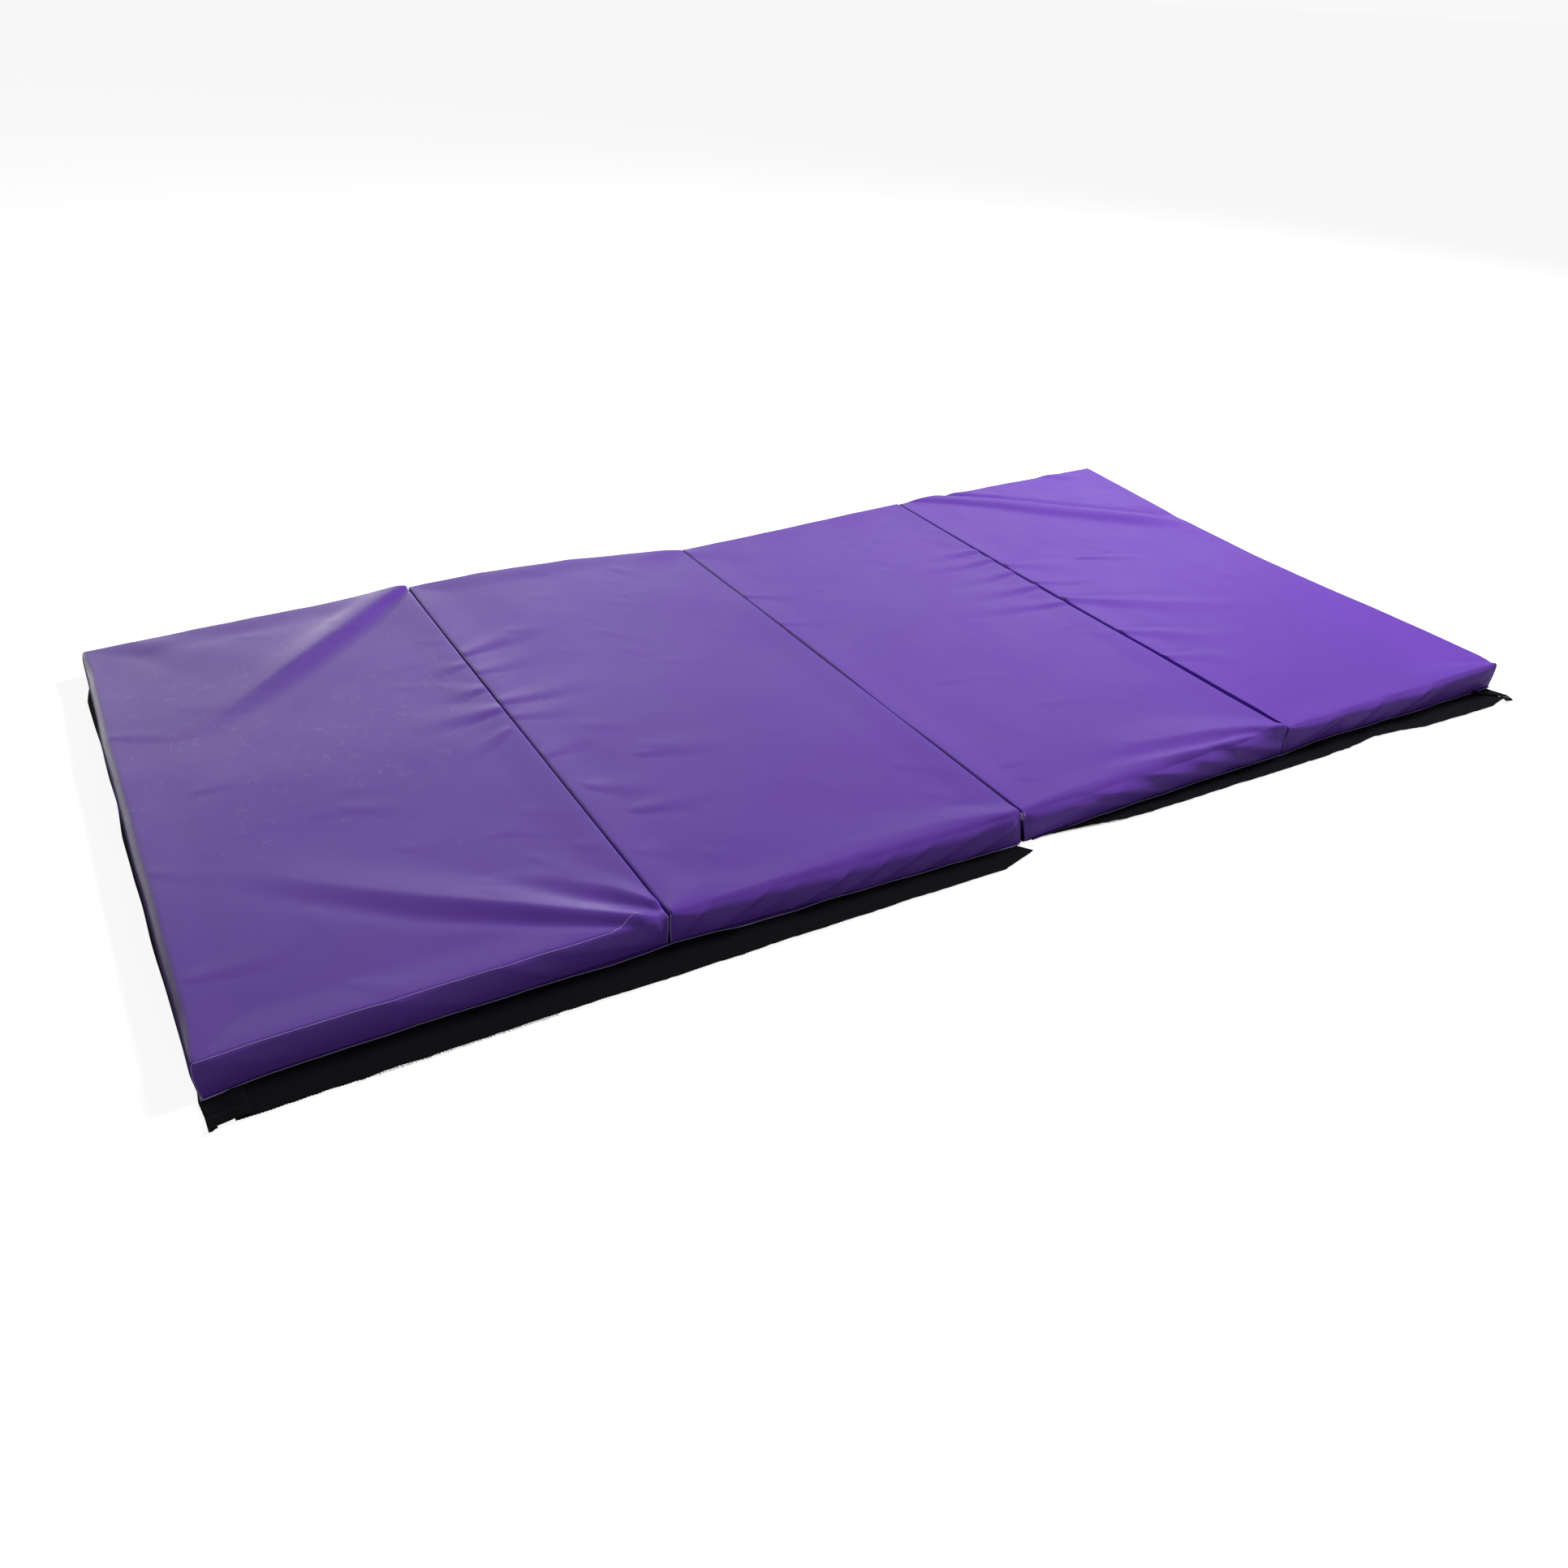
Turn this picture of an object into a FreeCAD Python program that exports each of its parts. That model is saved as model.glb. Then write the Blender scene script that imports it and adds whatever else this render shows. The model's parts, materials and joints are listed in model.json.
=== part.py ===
import FreeCAD, Part
import os
import Sketcher

# Folding gym mat of four foam panels in sewn vinyl covers, laid out flat.
# Millimetres. X runs along the mat, -Y is its front, Z is up. The origin is on the floor, under
# the middle of the mat. The covers lie on a layer of flat strips: edge flaps along the front and
# back, and one strip across each end. Panels 1-2 and 3-4 fold at the underside, panels 2-3 at the top.

SIZES = [
    ("panel_pitch", 609.6, "from one fold line to the next"),
    ("mat_width", 1219.2, "between the outer faces of the front and back walls"),
    ("mat_thickness", 50.8, "between the outer faces of the top and bottom sheets"),
    ("sheet_thickness", 0.8, "vinyl of the sheets and walls"),
    ("seam_lip", 4.0, "bottom sheet beyond the walls, at the sewn edges"),
    ("end_clearance", 0.25, "end lip short of the last pitch, so folded ends can meet"),
    ("bottom_fold_gap", 5.0, "between the walls at a fold in the underside"),
    ("top_fold_gap", 3.0, "between the walls at the fold in the top"),
    ("fold_clearance", 0.15, "from each half of a hinge to its fold line"),
    ("tape_reach", 25.0, "hinge tape, from the fold line into the panel"),
    ("tape_thickness", 0.8, "woven hinge tape"),
    ("strip_thickness", 1.6, "hook-and-loop edge flaps and end strips"),
    ("flap_reach", 60.0, "edge flap beyond the walls"),
    ("flap_root", 15.0, "edge flap under the bottom sheet, where it is sewn"),
    ("flap_slant_length", 68.0, "slanted end of the flap of panel 2"),
    ("flap_slant_depth", 20.0, "what the slant takes off the flap's width"),
    ("flap_taper_length", 250.0, "long taper of the flap of panel 3"),
    ("flap_taper_depth", 54.0, "what the taper takes off the flap's width"),
    ("strip_width", 50.0, "end strip"),
    ("strip_overhang", 64.0, "end strip beyond the front and back walls"),
    ("left_strip_reach", 8.0, "left end strip beyond the last pitch"),
    ("right_strip_inset", 10.0, "right end strip short of the last pitch"),
    ("hem_length", 25.0, "turned and sewn end of an end strip"),
]

END, BOTTOM_FOLD, TOP_FOLD = "end", "bottom fold", "top fold"

# What is at the left and at the right side of each panel.
PANEL_SIDES = {
    1: (END, BOTTOM_FOLD),
    2: (BOTTOM_FOLD, TOP_FOLD),
    3: (TOP_FOLD, BOTTOM_FOLD),
    4: (BOTTOM_FOLD, END),
}

# From a panel's pitch line inwards to each piece, for each kind of side.
WALL_INSET = {
    END: "Sizes.end_clearance + Sizes.seam_lip",
    BOTTOM_FOLD: "Sizes.bottom_fold_gap / 2",
    TOP_FOLD: "Sizes.top_fold_gap / 2",
}
TOP_SHEET_INSET = {**WALL_INSET, TOP_FOLD: "Sizes.fold_clearance"}
BOTTOM_SHEET_INSET = {**WALL_INSET, END: "Sizes.end_clearance", BOTTOM_FOLD: "Sizes.fold_clearance"}

# Heights of the layers, from the floor up.
SHEET = "Sizes.sheet_thickness"
TAPE = "Sizes.tape_thickness"
STRIP_TOP = "Sizes.strip_thickness"
CORE_BOTTOM = f"({STRIP_TOP} + {SHEET})"
MAT_TOP = f"({STRIP_TOP} + Sizes.mat_thickness)"
CORE_TOP = f"({MAT_TOP} - {SHEET})"
HALF_WIDTH = "Sizes.mat_width / 2"
INNER_HALF_WIDTH = f"({HALF_WIDTH} - {SHEET})"


def make_sheet(doc):
    sheet = doc.addObject("Spreadsheet::Sheet", "Sizes")
    for row, (name, value, note) in enumerate(SIZES, start=1):
        sheet.set(f"A{row}", name)
        sheet.set(f"B{row}", str(value))
        sheet.setAlias(f"B{row}", name)
        sheet.set(f"C{row}", note)
    doc.recompute()
    return sheet


def place(piece, x, y, z):
    """Bind a piece's position to expressions."""
    for axis, expression in zip("xyz", (x, y, z)):
        piece.setExpression(f"Placement.Base.{axis}", expression)


def add_slab(doc, label, x_span, y_span, z_span):
    """A rectangular sheet, wall or tape between two expressions along each axis."""
    slab = doc.addObject("Part::Box", label)
    slab.Label = label
    for side, (start, stop) in zip(("Length", "Width", "Height"), (x_span, y_span, z_span)):
        slab.setExpression(side, f"({stop}) - ({start})")
    place(slab, x_span[0], y_span[0], z_span[0])
    return slab


def add_body(doc, label, x, y, z):
    body = doc.addObject("PartDesign::Body", label)
    body.Label = label
    place(body, x, y, z)
    return body


def add_outline(doc, body, name, corners, lift="0"):
    """A closed outline on the body's XY plane, with each corner at expressions from its origin."""
    plane = next(item for item in body.Origin.OriginFeatures if item.Role == "XY_Plane")
    sketch = body.newObject("Sketcher::SketchObject", f"{body.Name}_{name}")
    sketch.AttachmentSupport = [(plane, "")]
    sketch.MapMode = "FlatFace"
    sketch.setExpression("AttachmentOffset.Base.z", lift)
    points = []
    for across, along in corners:
        points.append(FreeCAD.Vector(sketch.evalExpression(across), sketch.evalExpression(along), 0))
    for index, point in enumerate(points):
        sketch.addGeometry(Part.LineSegment(point, points[(index + 1) % len(points)]), False)
    for index in range(len(points)):
        following = (index + 1) % len(points)
        sketch.addConstraint(Sketcher.Constraint("Coincident", index, 2, following, 1))
    for index, (corner, point) in enumerate(zip(corners, points)):
        for kind, expression, value in zip(("DistanceX", "DistanceY"), corner, (point.x, point.y)):
            if expression == "0":
                axis = -2 if kind == "DistanceX" else -1
                sketch.addConstraint(Sketcher.Constraint("PointOnObject", index, 1, axis))
                continue
            number = sketch.addConstraint(Sketcher.Constraint(kind, -1, 1, index, 1, value))
            label = f"{kind}_{index}"
            sketch.renameConstraint(number, label)
            sketch.setExpression(f"Constraints.{label}", expression)
    doc.recompute()
    return sketch


def add_pad(doc, body, name, sketch, thickness):
    pad = body.newObject("PartDesign::Pad", f"{body.Name}_{name}")
    pad.Profile = sketch
    pad.setExpression("Length", thickness)
    doc.recompute()
    return pad


def add_pocket_up(doc, body, name, sketch, depth):
    """Cut from the sketch upwards, into the solid above it."""
    pocket = body.newObject("PartDesign::Pocket", f"{body.Name}_{name}")
    pocket.Profile = sketch
    pocket.Reversed = True
    pocket.setExpression("Length", depth)
    before = body.Shape.Volume
    doc.recompute()
    if pocket.Shape.Volume >= before:
        raise RuntimeError(f"{pocket.Name} cuts nothing")
    return pocket


def rectangle(x_start, x_stop, y_start, y_stop):
    return [(x_start, y_start), (x_stop, y_start), (x_stop, y_stop), (x_start, y_stop)]


def panel_span(number, insets):
    """Where a piece of a panel starts and stops along the mat."""
    left, right = PANEL_SIDES[number]
    start = f"{number - 3} * Sizes.panel_pitch + {insets[left]}"
    stop = f"{number - 2} * Sizes.panel_pitch - ({insets[right]})"
    return start, stop


def add_foam_core(doc, number):
    """The foam slab, rebated where the hinge tape lies over its edge."""
    start, stop = panel_span(number, WALL_INSET)
    length = f"({stop}) - ({start}) - 2 * {SHEET}"
    width = f"2 * {INNER_HALF_WIDTH}"
    height = f"{CORE_TOP} - {CORE_BOTTOM}"
    core = add_body(doc, f"foam_core_{number}", f"{start} + {SHEET}", f"-{INNER_HALF_WIDTH}", CORE_BOTTOM)
    outline = add_outline(doc, core, "outline", rectangle("0", length, "0", width))
    add_pad(doc, core, "slab", outline, height)
    for side, kind in zip(("left", "right"), PANEL_SIDES[number]):
        if kind == END:
            continue
        depth_in = f"Sizes.tape_reach - {WALL_INSET[kind]} - {SHEET}"
        lift = "0" if kind == BOTTOM_FOLD else f"{height} - {TAPE}"
        if side == "left":
            corners = rectangle("0", depth_in, "0", width)
        else:
            corners = rectangle(f"{length} - ({depth_in})", length, "0", width)
        rebate = add_outline(doc, core, f"{side}_rebate_outline", corners, lift)
        add_pocket_up(doc, core, f"{side}_rebate", rebate, TAPE)
    return core


def add_cover(doc, number):
    """The top sheet, the bottom sheet with its seam lips, and the four walls of one panel."""
    whole_width = (f"-{HALF_WIDTH}", HALF_WIDTH)
    lipped_width = (f"-{HALF_WIDTH} - Sizes.seam_lip", f"{HALF_WIDTH} + Sizes.seam_lip")
    start, stop = panel_span(number, WALL_INSET)
    pieces = [
        add_slab(doc, f"top_sheet_{number}", panel_span(number, TOP_SHEET_INSET), whole_width,
                 (CORE_TOP, MAT_TOP)),
        add_slab(doc, f"bottom_sheet_{number}", panel_span(number, BOTTOM_SHEET_INSET), lipped_width,
                 (STRIP_TOP, CORE_BOTTOM)),
        add_slab(doc, f"front_wall_{number}", (start, stop), (f"-{HALF_WIDTH}", f"-{INNER_HALF_WIDTH}"),
                 (CORE_BOTTOM, CORE_TOP)),
        add_slab(doc, f"back_wall_{number}", (start, stop), (INNER_HALF_WIDTH, HALF_WIDTH),
                 (CORE_BOTTOM, CORE_TOP)),
    ]
    side_spans = ((start, f"{start} + {SHEET}"), (f"{stop} - {SHEET}", stop))
    for side, kind, span in zip(("left", "right"), PANEL_SIDES[number], side_spans):
        foot = f"{CORE_BOTTOM} + {TAPE}" if kind == BOTTOM_FOLD else CORE_BOTTOM
        head = f"{CORE_TOP} - {TAPE}" if kind == TOP_FOLD else CORE_TOP
        inner_width = (f"-{INNER_HALF_WIDTH}", INNER_HALF_WIDTH)
        pieces.append(add_slab(doc, f"{side}_wall_{number}", span, inner_width, (foot, head)))
    return pieces


def add_hinge_tapes(doc, number):
    """One half of a hinge tape at each folding side of a panel, inside the cover."""
    pieces = []
    pitch_lines = (f"{number - 3} * Sizes.panel_pitch", f"{number - 2} * Sizes.panel_pitch")
    for side, kind, line in zip(("left", "right"), PANEL_SIDES[number], pitch_lines):
        if kind == END:
            continue
        near, far = f"{line} + Sizes.fold_clearance", f"{line} + Sizes.tape_reach"
        if side == "right":
            near, far = f"{line} - Sizes.tape_reach", f"{line} - Sizes.fold_clearance"
        heights = (f"{CORE_TOP} - {TAPE}", CORE_TOP)
        if kind == BOTTOM_FOLD:
            heights = (CORE_BOTTOM, f"{CORE_BOTTOM} + {TAPE}")
        inner_width = (f"-{INNER_HALF_WIDTH}", INNER_HALF_WIDTH)
        pieces.append(add_slab(doc, f"hinge_tape_{side}_{number}", (near, far), inner_width, heights))
    return pieces


def flap_corners(number, length):
    """A flap's outline: along the mat from its left end, and outwards from its sewn edge."""
    width = "Sizes.flap_root + Sizes.flap_reach"
    if number == 2:
        cut_width = f"{width} - Sizes.flap_slant_depth"
        shoulder = f"{length} - Sizes.flap_slant_length"
        return [("0", "0"), (length, "0"), (length, cut_width), (shoulder, width), ("0", width)]
    if number == 3:
        cut_width = f"{width} - Sizes.flap_taper_depth"
        return [("0", "0"), (length, "0"), (length, width), ("Sizes.flap_taper_length", width),
                ("0", cut_width)]
    return rectangle("0", length, "0", width)


def add_edge_flap(doc, number, edge):
    """The part of the front or back flap that is sewn to one panel."""
    start = f"{number - 3} * Sizes.panel_pitch + Sizes.fold_clearance"
    stop = f"{number - 2} * Sizes.panel_pitch - Sizes.fold_clearance"
    if number == 1:
        start = "-2 * Sizes.panel_pitch - Sizes.left_strip_reach + Sizes.strip_width"
    if number == 4:
        stop = "2 * Sizes.panel_pitch - Sizes.right_strip_inset - Sizes.strip_width"
    corners = flap_corners(number, f"({stop}) - ({start})")
    sewn_edge = f"{HALF_WIDTH} - Sizes.flap_root"
    if edge == "front":
        width = "(Sizes.flap_root + Sizes.flap_reach)"
        corners = [(across, f"{width} - ({along})") for across, along in corners]
        corners = [(across, "0" if along == f"{width} - (Sizes.flap_root + Sizes.flap_reach)" else along)
                   for across, along in corners]
        sewn_edge = f"-({HALF_WIDTH} + Sizes.flap_reach)"
    flap = add_body(doc, f"{edge}_flap_{number}", start, sewn_edge, "0")
    outline = add_outline(doc, flap, "outline", corners)
    add_pad(doc, flap, "strip", outline, STRIP_TOP)
    return flap


def add_end_strip(doc, side, start):
    """The strip across one end, under the panel's edge, with a turned hem at its front and back."""
    reach = f"({HALF_WIDTH} + Sizes.strip_overhang)"
    strip = add_body(doc, f"{side}_end_strip", start, f"-{reach}", "0")
    width = "Sizes.strip_width"
    length = f"2 * {reach}"
    outline = add_outline(doc, strip, "outline", rectangle("0", width, "0", length))
    add_pad(doc, strip, "strip", outline, STRIP_TOP)
    hems = (("front", "0", "Sizes.hem_length"), ("back", f"{length} - Sizes.hem_length", length))
    for end, hem_start, hem_stop in hems:
        hem = add_outline(doc, strip, f"{end}_hem_outline", rectangle("0", width, hem_start, hem_stop),
                          STRIP_TOP)
        add_pad(doc, strip, f"{end}_hem", hem, STRIP_TOP)
    return strip


def check_document(doc, pieces):
    """Stop before anything is written if an object failed or a piece has no valid solid."""
    for item in doc.Objects:
        if "Invalid" in item.State or "Error" in item.State:
            raise RuntimeError(f"{item.Name} is {item.State}")
    for piece in pieces:
        if piece.Shape.isNull() or not piece.Shape.isValid() or len(piece.Shape.Solids) != 1:
            raise RuntimeError(f"{piece.Label} is not one valid solid")


def main():
    doc = FreeCAD.newDocument("folding_gym_mat")
    make_sheet(doc)
    pieces = []
    for number in PANEL_SIDES:
        pieces.append(add_foam_core(doc, number))
        pieces.extend(add_cover(doc, number))
        pieces.extend(add_hinge_tapes(doc, number))
        for edge in ("front", "back"):
            pieces.append(add_edge_flap(doc, number, edge))
    left_start = "-2 * Sizes.panel_pitch - Sizes.left_strip_reach"
    right_start = "2 * Sizes.panel_pitch - Sizes.right_strip_inset - Sizes.strip_width"
    pieces.append(add_end_strip(doc, "left", left_start))
    pieces.append(add_end_strip(doc, "right", right_start))
    doc.recompute()
    check_document(doc, pieces)
    os.makedirs("parts", exist_ok=True)
    for piece in pieces:
        piece.Shape.exportStep(f"parts/{piece.Label}.step")
    print(f"{len(pieces)} sub-parts written")


main()
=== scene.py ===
"""Folding gym mat: four foam panels in loose purple vinyl covers, with black hook-and-loop flaps.

Every length is in metres, in the model's own frame: X along the mat, -Y its front, Z up.
"""
import json
import math
import random

import bmesh
import bpy
import numpy as np
from mathutils import Matrix, Vector


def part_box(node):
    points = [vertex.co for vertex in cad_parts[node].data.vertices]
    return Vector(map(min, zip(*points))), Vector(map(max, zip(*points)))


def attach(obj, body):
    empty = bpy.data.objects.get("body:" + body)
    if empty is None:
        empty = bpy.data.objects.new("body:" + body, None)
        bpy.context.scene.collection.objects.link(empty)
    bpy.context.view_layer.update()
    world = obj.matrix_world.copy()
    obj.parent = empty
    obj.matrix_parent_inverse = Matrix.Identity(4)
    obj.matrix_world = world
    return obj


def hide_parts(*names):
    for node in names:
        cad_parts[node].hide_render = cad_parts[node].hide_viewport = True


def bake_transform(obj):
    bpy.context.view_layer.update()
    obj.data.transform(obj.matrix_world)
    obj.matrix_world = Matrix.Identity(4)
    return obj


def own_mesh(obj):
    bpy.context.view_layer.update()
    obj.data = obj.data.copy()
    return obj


MM = 0.001

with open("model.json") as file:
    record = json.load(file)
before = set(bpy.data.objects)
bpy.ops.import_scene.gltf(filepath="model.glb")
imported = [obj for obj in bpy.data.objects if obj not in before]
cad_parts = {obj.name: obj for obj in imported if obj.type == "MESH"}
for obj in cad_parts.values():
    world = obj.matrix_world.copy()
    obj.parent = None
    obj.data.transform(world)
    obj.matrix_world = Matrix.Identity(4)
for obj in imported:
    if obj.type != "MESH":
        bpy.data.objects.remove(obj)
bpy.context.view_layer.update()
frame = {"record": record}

# --- Places read from the frame -----------------------------------------------------------------

PANELS = (1, 2, 3, 4)
JOINTS = {joint["name"]: joint for joint in frame["record"]["behaviour"]["joints"]}
FOLD_X = {name: JOINTS[name]["pos_m"][0] for name in ("left_fold", "middle_fold", "right_fold")}
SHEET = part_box("top_sheet_1")[1][2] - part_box("top_sheet_1")[0][2]
STRIP_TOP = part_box("front_flap_1")[1][2]
MAT_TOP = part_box("top_sheet_1")[1][2]
HALF_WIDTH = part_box("front_wall_1")[0][1] * -1
PITCH = FOLD_X["right_fold"] - FOLD_X["middle_fold"]
SEAM_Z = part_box("bottom_sheet_1")[1][2]


def panel_walls(number):
    """The outer faces of a panel's left and right walls."""
    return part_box(f"left_wall_{number}")[0][0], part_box(f"right_wall_{number}")[1][0]


# --- Small shared functions ---------------------------------------------------------------------

def along(table, at):
    """A value read off a table of (place, value) pairs in millimetres, given and returned in metres."""
    places, values = zip(*table)
    return np.interp(np.asarray(at) / MM, places, values) * MM


def smoothly(low, high, at):
    """0 at low, 1 at high, and an S curve between them."""
    t = np.clip((at - low) / (high - low), 0.0, 1.0)
    return t * t * (3.0 - 2.0 * t)


def value_noise(x, y, pitch, seed):
    """Smooth noise from -1 to 1 on the plane, the same in every run."""
    rng = np.random.default_rng(seed)
    size = 64
    grid = rng.uniform(-1.0, 1.0, (size, size))
    fx, fy = np.asarray(x) / pitch, np.asarray(y) / pitch
    ix, iy = np.floor(fx).astype(int), np.floor(fy).astype(int)
    tx, ty = fx - ix, fy - iy
    tx, ty = tx * tx * (3 - 2 * tx), ty * ty * (3 - 2 * ty)
    a, b = grid[ix % size, iy % size], grid[(ix + 1) % size, iy % size]
    c, d = grid[ix % size, (iy + 1) % size], grid[(ix + 1) % size, (iy + 1) % size]
    return (a * (1 - tx) + b * tx) * (1 - ty) + (c * (1 - tx) + d * tx) * ty


def soft_tent(at):
    """1 at 0, straight down to about 0 at 1, with a rounded foot."""
    foot = 0.14
    return foot * np.log1p(np.exp((1.0 - at) / foot)) / (foot * math.log1p(math.exp(1.0 / foot)))


def fold_height(x, y, path, height, left, right, crest, valley, fade):
    """A fold of loose vinyl along a path of (x, y) points.

    left and right are how far it slopes away on each side of the path, crest is how round its top is,
    valley is how deep the trough at the foot of its steeper side is, and fade gives the shares of its
    length between which it dies out.
    """
    path = np.asarray(path, dtype=float)
    steps = np.linalg.norm(np.diff(path, axis=0), axis=1)
    total = steps.sum()
    nearest = np.full(np.shape(x), 1e9)
    side = np.zeros(np.shape(x))
    share = np.zeros(np.shape(x))
    done = 0.0
    for start, stop, step in zip(path[:-1], path[1:], steps):
        ux, uy = (stop - start) / step
        run = np.clip((x - start[0]) * ux + (y - start[1]) * uy, 0.0, step)
        px, py = x - start[0] - run * ux, y - start[1] - run * uy
        distance = np.hypot(px, py)
        closer = distance < nearest
        nearest = np.where(closer, distance, nearest)
        side = np.where(closer, ux * py - uy * px, side)
        share = np.where(closer, (done + run) / total, share)
        done += step
    widen = 0.35 + 0.65 * np.minimum(share * 2.2, 1.0)
    side_share = smoothly(-0.004, 0.004, side)
    width = (left * side_share + right * (1.0 - side_share)) * widen
    at = (np.sqrt(nearest ** 2 + crest ** 2) - crest) / width
    steeper = side_share if left < right else 1.0 - side_share
    trough = valley * np.exp(-((at - 1.4) / 0.55) ** 2) * steeper
    envelope = (1.0 - 0.88 * smoothly(fade[0], fade[1], share)) * (1.0 - smoothly(0.75, 1.0, share))
    return height * (soft_tent(at) - trough) * envelope


def new_object(name, verts, faces):
    mesh = bpy.data.meshes.new(name)
    mesh.from_pydata([tuple(v) for v in verts], [], [tuple(int(i) for i in f) for f in faces])
    mesh.update()
    mesh.polygons.foreach_set("use_smooth", [True] * len(mesh.polygons))
    piece = bpy.data.objects.new(name, mesh)
    bpy.context.scene.collection.objects.link(piece)
    return piece


def row(x, y, z):
    """A row of points from coordinates that are each a list or one number."""
    return np.stack(np.broadcast_arrays(x, y, z), -1).astype(float)


def sheet_mesh(name, surface, thickness):
    """A closed sheet under a grid of points, of shape (rows, columns, 3)."""
    rows, columns, _ = surface.shape
    top = surface.reshape(-1, 3)
    bottom = top.copy()
    bottom[:, 2] -= thickness
    count = rows * columns
    index = np.arange(count).reshape(rows, columns)
    quads = np.stack([index[:-1, :-1], index[1:, :-1], index[1:, 1:], index[:-1, 1:]], -1).reshape(-1, 4)
    ring = np.concatenate([index[0, :-1], index[:-1, -1], index[-1, :0:-1], index[:0:-1, 0]])
    after = np.roll(ring, -1)
    sides = np.stack([ring, after, after + count, ring + count], -1)
    faces = np.concatenate([quads, quads[:, ::-1] + count, sides])
    piece = new_object(name, np.concatenate([top, bottom]), faces)
    fix_normals(piece)
    return piece


def fix_normals(piece):
    working = bmesh.new()
    working.from_mesh(piece.data)
    bmesh.ops.recalc_face_normals(working, faces=working.faces)
    working.to_mesh(piece.data)
    working.free()


# --- How the mat lies: small shifts from the ideal rectangle ------------------------------------

END = 2 * PITCH / MM
FOLD = PITCH / MM

# How far the back and front edges stand from their straight lines, along the mat.
BACK_EDGE_SHIFT = [(-END, -18), (-FOLD, 12), (-450, 15), (-250, 9), (-120, -4), (0, -19), (FOLD, 14),
                   (END, 36)]
FRONT_EDGE_SHIFT = [(-END, 1), (-1150, 5), (-FOLD, 4), (0, -9), (FOLD, -4), (END, -9)]
# How far the two ends stand from their straight lines, from the front to the back.
LEFT_END_SHIFT = [(-610, -15), (-480, -16), (-275, -14), (0, -12), (263, -11), (450, -8), (610, -3)]
RIGHT_END_SHIFT = [(-610, -10), (-565, -2), (-430, -1), (-315, -2), (-232, -7), (-125, -13), (0, -13),
                   (90, -8), (275, -1), (610, 27)]
# How much higher the back edge's top lies, along the mat, and from what share of the width it rises.
BACK_LIFT_FROM = 0.55
BACK_LIFT = [(-END, -2), (-900, 3), (-FOLD, 4), (-450, 9), (-250, 8), (-60, 2), (0, -2), (120, -1),
             (FOLD, 6), (900, 8), (END, 8)]

# Above SOFT_TOP a fold's height levels off, and never reaches SOFT_TOP + SOFT_RISE.
SOFT_TOP = MAT_TOP + 0.0060
SOFT_RISE = 0.0050


def settle(points):
    """Move points from the ideal rectangle to where the soft mat lies."""
    x, y, z = points[..., 0], points[..., 1], points[..., 2]
    share = y / (2 * HALF_WIDTH) + 0.5
    shift_y = along(BACK_EDGE_SHIFT, x) * share + along(FRONT_EDGE_SHIFT, x) * (1 - share)
    towards_end = np.clip((np.abs(x) - PITCH) / PITCH, 0.0, 1.0)
    shift_x = np.where(x < 0, along(LEFT_END_SHIFT, y), along(RIGHT_END_SHIFT, y)) * towards_end
    moved = points.copy()
    moved[..., 0] = x + shift_x
    moved[..., 1] = y + shift_y
    height = np.clip(z / MAT_TOP, 0.0, 1.0)
    lifted = z + along(BACK_LIFT, x) * smoothly(BACK_LIFT_FROM, 1.0, share) * height
    above = np.maximum(lifted - SOFT_TOP, 0.0)
    moved[..., 2] = np.minimum(lifted, SOFT_TOP) + SOFT_RISE * (1.0 - np.exp(-above / SOFT_RISE))
    return moved


# --- Covers -------------------------------------------------------------------------------------

# How round each top edge is, in millimetres: (place along the edge, radius), and at the sides
# (left, right).
FRONT_RADIUS = {
    1: [(-1220, 4), (-700, 4), (-640, 6), (-610, 6)],
    2: [(-610, 6), (-560, 13), (-300, 18), (-60, 12), (0, 6)],
    3: [(0, 11), (120, 22), (430, 20), (580, 8), (610, 4)],
    4: [(610, 5), (680, 13), (1000, 15), (1220, 6)],
}
BACK_RADIUS = {
    1: [(-1220, 5), (-610, 6)],
    2: [(-610, 5), (-300, 8), (0, 9)],
    3: [(0, 8), (300, 6), (610, 4)],
    4: [(610, 7), (1220, 4)],
}
SIDE_RADIUS = {1: (13, 2.0), 2: (2.2, 2.0), 3: (2.0, 3), 4: (4, 5)}
# The least radius of an edge, and the share of a side's radius that is left at its corners, within
# CORNER_REACH. Where two edges meet, the nearer one sets the top's radius, over about EDGE_BLEND.
LEAST_SIDE_RADIUS = 0.0018
LEAST_TOP_RADIUS = 0.002
CORNER_SHARE = 0.25
CORNER_REACH = 0.10
EDGE_BLEND = 0.008

# How far a folding side's wall is pressed out into the gap by its foam.
PRESSED = {(1, "right"): 0.0018, (2, "left"): 0.0017, (2, "right"): 0.0009, (3, "left"): 0.0009,
           (3, "right"): 0.0014, (4, "left"): 0.0006}
# How far the top of a folding side's wall leans back from the gap, from the front to the back.
LEAN = {
    (1, "right"): [(-610, 0.4), (0, 0.1), (610, 1.0)],
    (2, "left"): [(-610, 0.3), (-200, 0.0), (150, 0.7), (400, 0.2), (610, 0.5)],
    (2, "right"): [(-610, 1.5), (-500, 0), (610, 0)],
    (3, "left"): [(-610, 2.5), (-500, 0), (610, 0)],
    (3, "right"): [(-610, 0.6), (610, 0.5)],
    (4, "left"): [(-610, 6.5), (-420, 5.5), (-100, 3.0), (200, 1.5), (610, 1.2)],
}
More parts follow.
